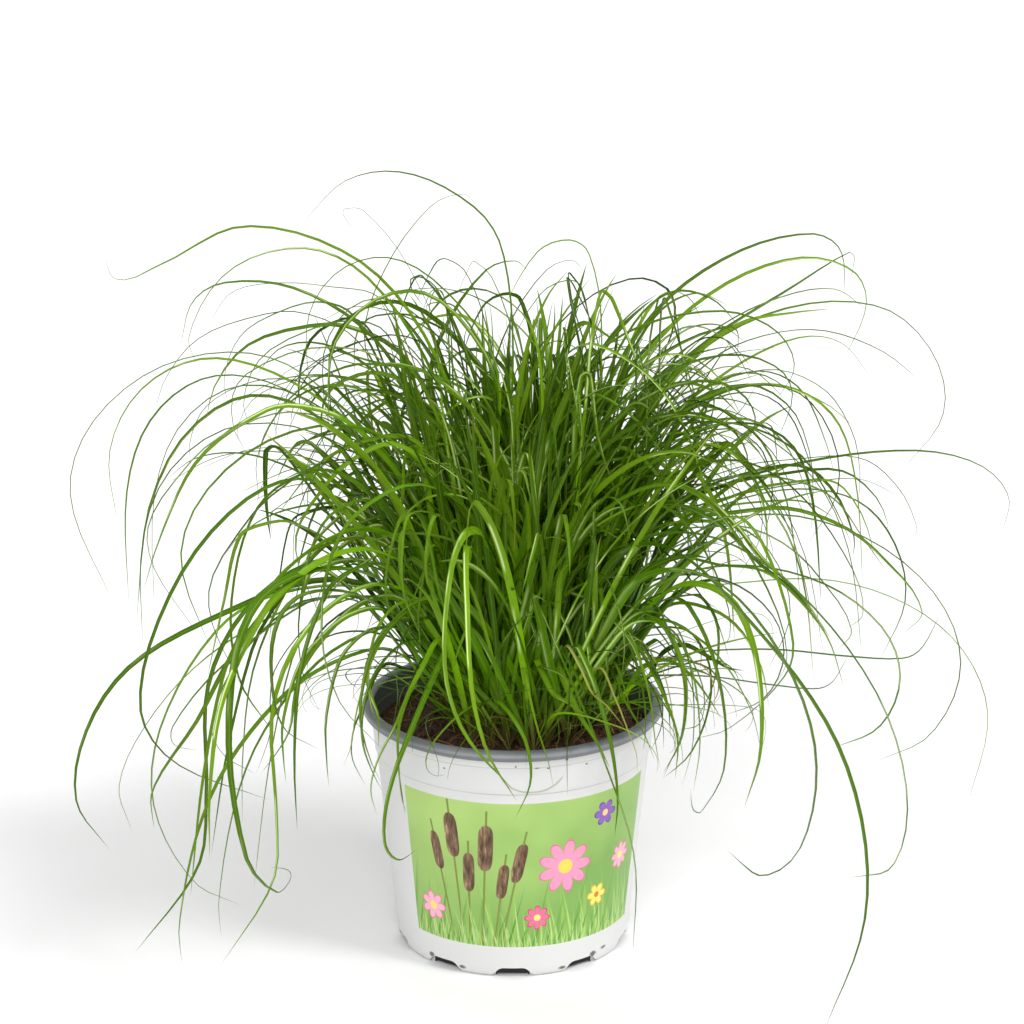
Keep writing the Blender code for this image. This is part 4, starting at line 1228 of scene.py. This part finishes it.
def shown_half(widest, line, foot):
    """Half the width that a CAD blade is shown with: broad in front of the tuft, and thin at its very top."""
    thin, usual, extra, forward = 0.4, 0.72, 0.72, 60 * MM
    top = line[:, 2].max()
    if top > THIN_ABOVE:
        return widest * thin
    facing = max(0.0, -(line[len(line) // 2, 1] - foot.y) / forward)
    return widest * (usual + extra * (min(facing, 1.0) if top < BROAD_BELOW else 0.0))


def drawn_in(foot):
    """Where a shoot leaves the soil: the tuft is narrower there than its sheaths are in the CAD."""
    return TUFT_MIDDLE + (foot - TUFT_MIDDLE) * TUFT_WAIST


def share_out(feet):
    """Gives each traced blade to the shoot whose foot is nearest its own."""
    taken = {name: [] for name in feet}
    for row in TRACED_BLADES:
        own = compass(row[0]) * row[1] * MM
        taken[min(feet, key=lambda name: (feet[name].xy - own.xy).length)].append(row)
    return taken


def build_tuft(look, pot, grain):
    """The tuft, one piece for each CAD shoot: its own blades made fine, and more of several kinds among them."""
    leaf = leaf_finish(look, grain)
    shoots = {name: read_shoot(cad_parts[name])
              for name in sorted(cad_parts) if name.startswith("shoot_")}
    feet = {name: drawn_in(foot) for name, (foot, _) in shoots.items()}
    traced = share_out(feet)
    patterns = [smooth_line(knots) for _, blades in shoots.values() for knots, _ in blades]
    patterns += [traced_line(feet[name], heading, waypoints)
                 for name, rows in traced.items() for heading, _, _, _, *waypoints in rows]
    wisp_line = curled(lean=(5, 55), droop=(80, 170), length=(25, 115), sweep=110, curl=160)
    strand_line = curled(lean=(0, 50), droop=(60, 150), length=(9, 34), sweep=150, curl=120)
    kinds = [
        # Line, count, least and most share of the half width, taper, share of dead blades
        (upright_line, look.upright, 0.5, 1.1, 6.0, 0.0),
        (kin_of(patterns), look.arching, 0.42, 0.92, 3.2, 0.0),
        (wisp_line, look.wisps, 0.14, 0.42, 3.2, 0.03),
        (strand_line, look.strands, 0.06, 0.16, 3.2, 1.0),
    ]
    for number, (name, (_, blades)) in enumerate(shoots.items(), 1):
        rng = random.Random(SEED * 1000 + number)
        sward, foot = Sward(), feet[name]
        for knots, widest in blades:
            line = line_from(foot, knots[2:])
            sward.add(line, shown_half(widest, line, foot), rng, rng.uniform(0.15, 0.85), rings=36)
        for heading, _, half, tint, *waypoints in traced[name]:
            line = traced_line(foot, heading, waypoints)
            sward.add(line, half * TRACED_WIDER * MM, rng, tint, max(0.0, tint - 1), rings=36)
        for make_line, count, least, most, taper, dead in kinds:
            for _ in range(count):
                half = look.half_width * rng.uniform(least, most)
                line = fill_blade(make_line, foot, rng, pot, half)
                if line is not None:
                    dry = 1.0 if rng.random() < dead else 0.0
                    sward.add(line, half, rng, rng.betavariate(1.2, 1.3), dry, taper=taper)
        hand_over(sward.piece(f"sedge_{number:02d}"), leaf, "sedge_green", name)


# Stage


def build_floor(look):
    """A wide plain floor."""
    bpy.ops.object.select_all(action="DESELECT")
    bpy.ops.mesh.primitive_plane_add(size=14.0, location=(0, 2.0, 0))
    floor = named("floor")
    apply_place(floor)
    floor.data.materials.append(floor_finish(look))


def build_light(name, strength, softness, heading, height):
    """A far light, as soft as the angle it fills, from a heading and a height in degrees."""
    light = bpy.data.lights.new(name, "SUN")
    light.energy = strength
    light.angle = math.radians(softness)
    lamp = bpy.data.objects.new(name, light)
    towards = compass(heading) * math.cos(math.radians(height)) + upwards(math.sin(math.radians(height)))
    lamp.rotation_euler = (-towards).to_track_quat("-Z", "Y").to_euler()
    bpy.context.collection.objects.link(lamp)


def build_world(look):
    """Even light from all round."""
    world = bpy.data.worlds.new("studio")
    world.use_nodes = True
    inputs = world.node_tree.nodes["Background"].inputs
    inputs["Color"].default_value = (1.0, 1.0, 1.0, 1.0)
    inputs["Strength"].default_value = look.ambient
    bpy.context.scene.world = world


def build_camera(look):
    """The camera at the photograph's place: level, in front and above, aimed at CAMERA_TARGET."""
    camera = bpy.data.objects.new("camera", bpy.data.cameras.new("camera"))
    camera.data.lens = look.lens
    camera.data.sensor_width = 36.0
    camera.data.clip_start = 0.05
    camera.data.clip_end = 50.0
    away = Vector((0, math.cos(look.pitch), -math.sin(look.pitch)))
    camera.location = CAMERA_TARGET - away * look.distance
    camera.rotation_euler = (math.pi / 2 - look.pitch, 0, 0)
    bpy.context.collection.objects.link(camera)
    bpy.context.scene.camera = camera


def build_stage(look):
    """Floor, lights, world and camera."""
    build_floor(look)
    build_light("key", look.key, softness=13, heading=330, height=49)
    build_light("fill", look.fill, softness=32, heading=262, height=38)
    build_world(look)
    build_camera(look)
    bpy.context.scene.view_settings.view_transform = "Standard"


# Operators and panel


def grain():
    """The grain group, made once."""
    return bpy.data.node_groups.get("grain") or grain_group()


class SEDGE_OT_pot(bpy.types.Operator):
    """Builds the printed nursery pot"""

    bl_idname = "sedge.pot"
    bl_label = "Pot"

    def execute(self, context):
        build_pot(context.scene.sedge_pot, grain())
        return {"FINISHED"}


class SEDGE_OT_soil(bpy.types.Operator):
    """Builds the potting soil with its crumbs and fibres"""

    bl_idname = "sedge.soil"
    bl_label = "Soil"

    def execute(self, context):
        build_soil(context.scene.sedge_soil, context.scene.sedge_pot, grain())
        return {"FINISHED"}


class SEDGE_OT_tuft(bpy.types.Operator):
    """Builds the blades of every shoot"""

    bl_idname = "sedge.tuft"
    bl_label = "Tuft"

    def execute(self, context):
        build_tuft(context.scene.sedge_tuft, context.scene.sedge_pot, grain())
        return {"FINISHED"}


class SEDGE_OT_stage(bpy.types.Operator):
    """Builds the floor, the lights and the camera"""

    bl_idname = "sedge.stage"
    bl_label = "Stage"

    def execute(self, context):
        build_stage(context.scene.sedge_stage)
        return {"FINISHED"}


class SEDGE_PT_panel(bpy.types.Panel):
    """Lists the settings and the steps that build the plant"""

    bl_idname = "SEDGE_PT_panel"
    bl_label = "Potted sedge"
    bl_space_type = "VIEW_3D"
    bl_region_type = "UI"
    bl_category = "Sedge"

    def draw(self, context):
        for step, settings in STEPS:
            box = self.layout.box()
            box.operator(f"sedge.{step}")
            for key in settings.__annotations__:
                box.prop(getattr(context.scene, f"sedge_{step}"), key)


STEPS = [("pot", PotSettings), ("soil", SoilSettings), ("tuft", TuftSettings), ("stage", StageSettings)]
CLASSES = [PotSettings, SoilSettings, TuftSettings, StageSettings,
           SEDGE_OT_pot, SEDGE_OT_soil, SEDGE_OT_tuft, SEDGE_OT_stage, SEDGE_PT_panel]


def register():
    """Registers the classes and puts the settings on the scene."""
    for made in CLASSES:
        bpy.utils.register_class(made)
    for step, settings in STEPS:
        setattr(bpy.types.Scene, f"sedge_{step}", PointerProperty(type=settings))


def unregister():
    """Takes the settings and the classes away again."""
    for step, _ in STEPS:
        delattr(bpy.types.Scene, f"sedge_{step}")
    for made in reversed(CLASSES):
        bpy.utils.unregister_class(made)


def main():
    """Builds every piece and the stage."""
    register()
    bpy.ops.sedge.stage()
    bpy.ops.sedge.pot()
    bpy.ops.sedge.soil()
    bpy.ops.sedge.tuft()


if __name__ == "__main__":
    main()
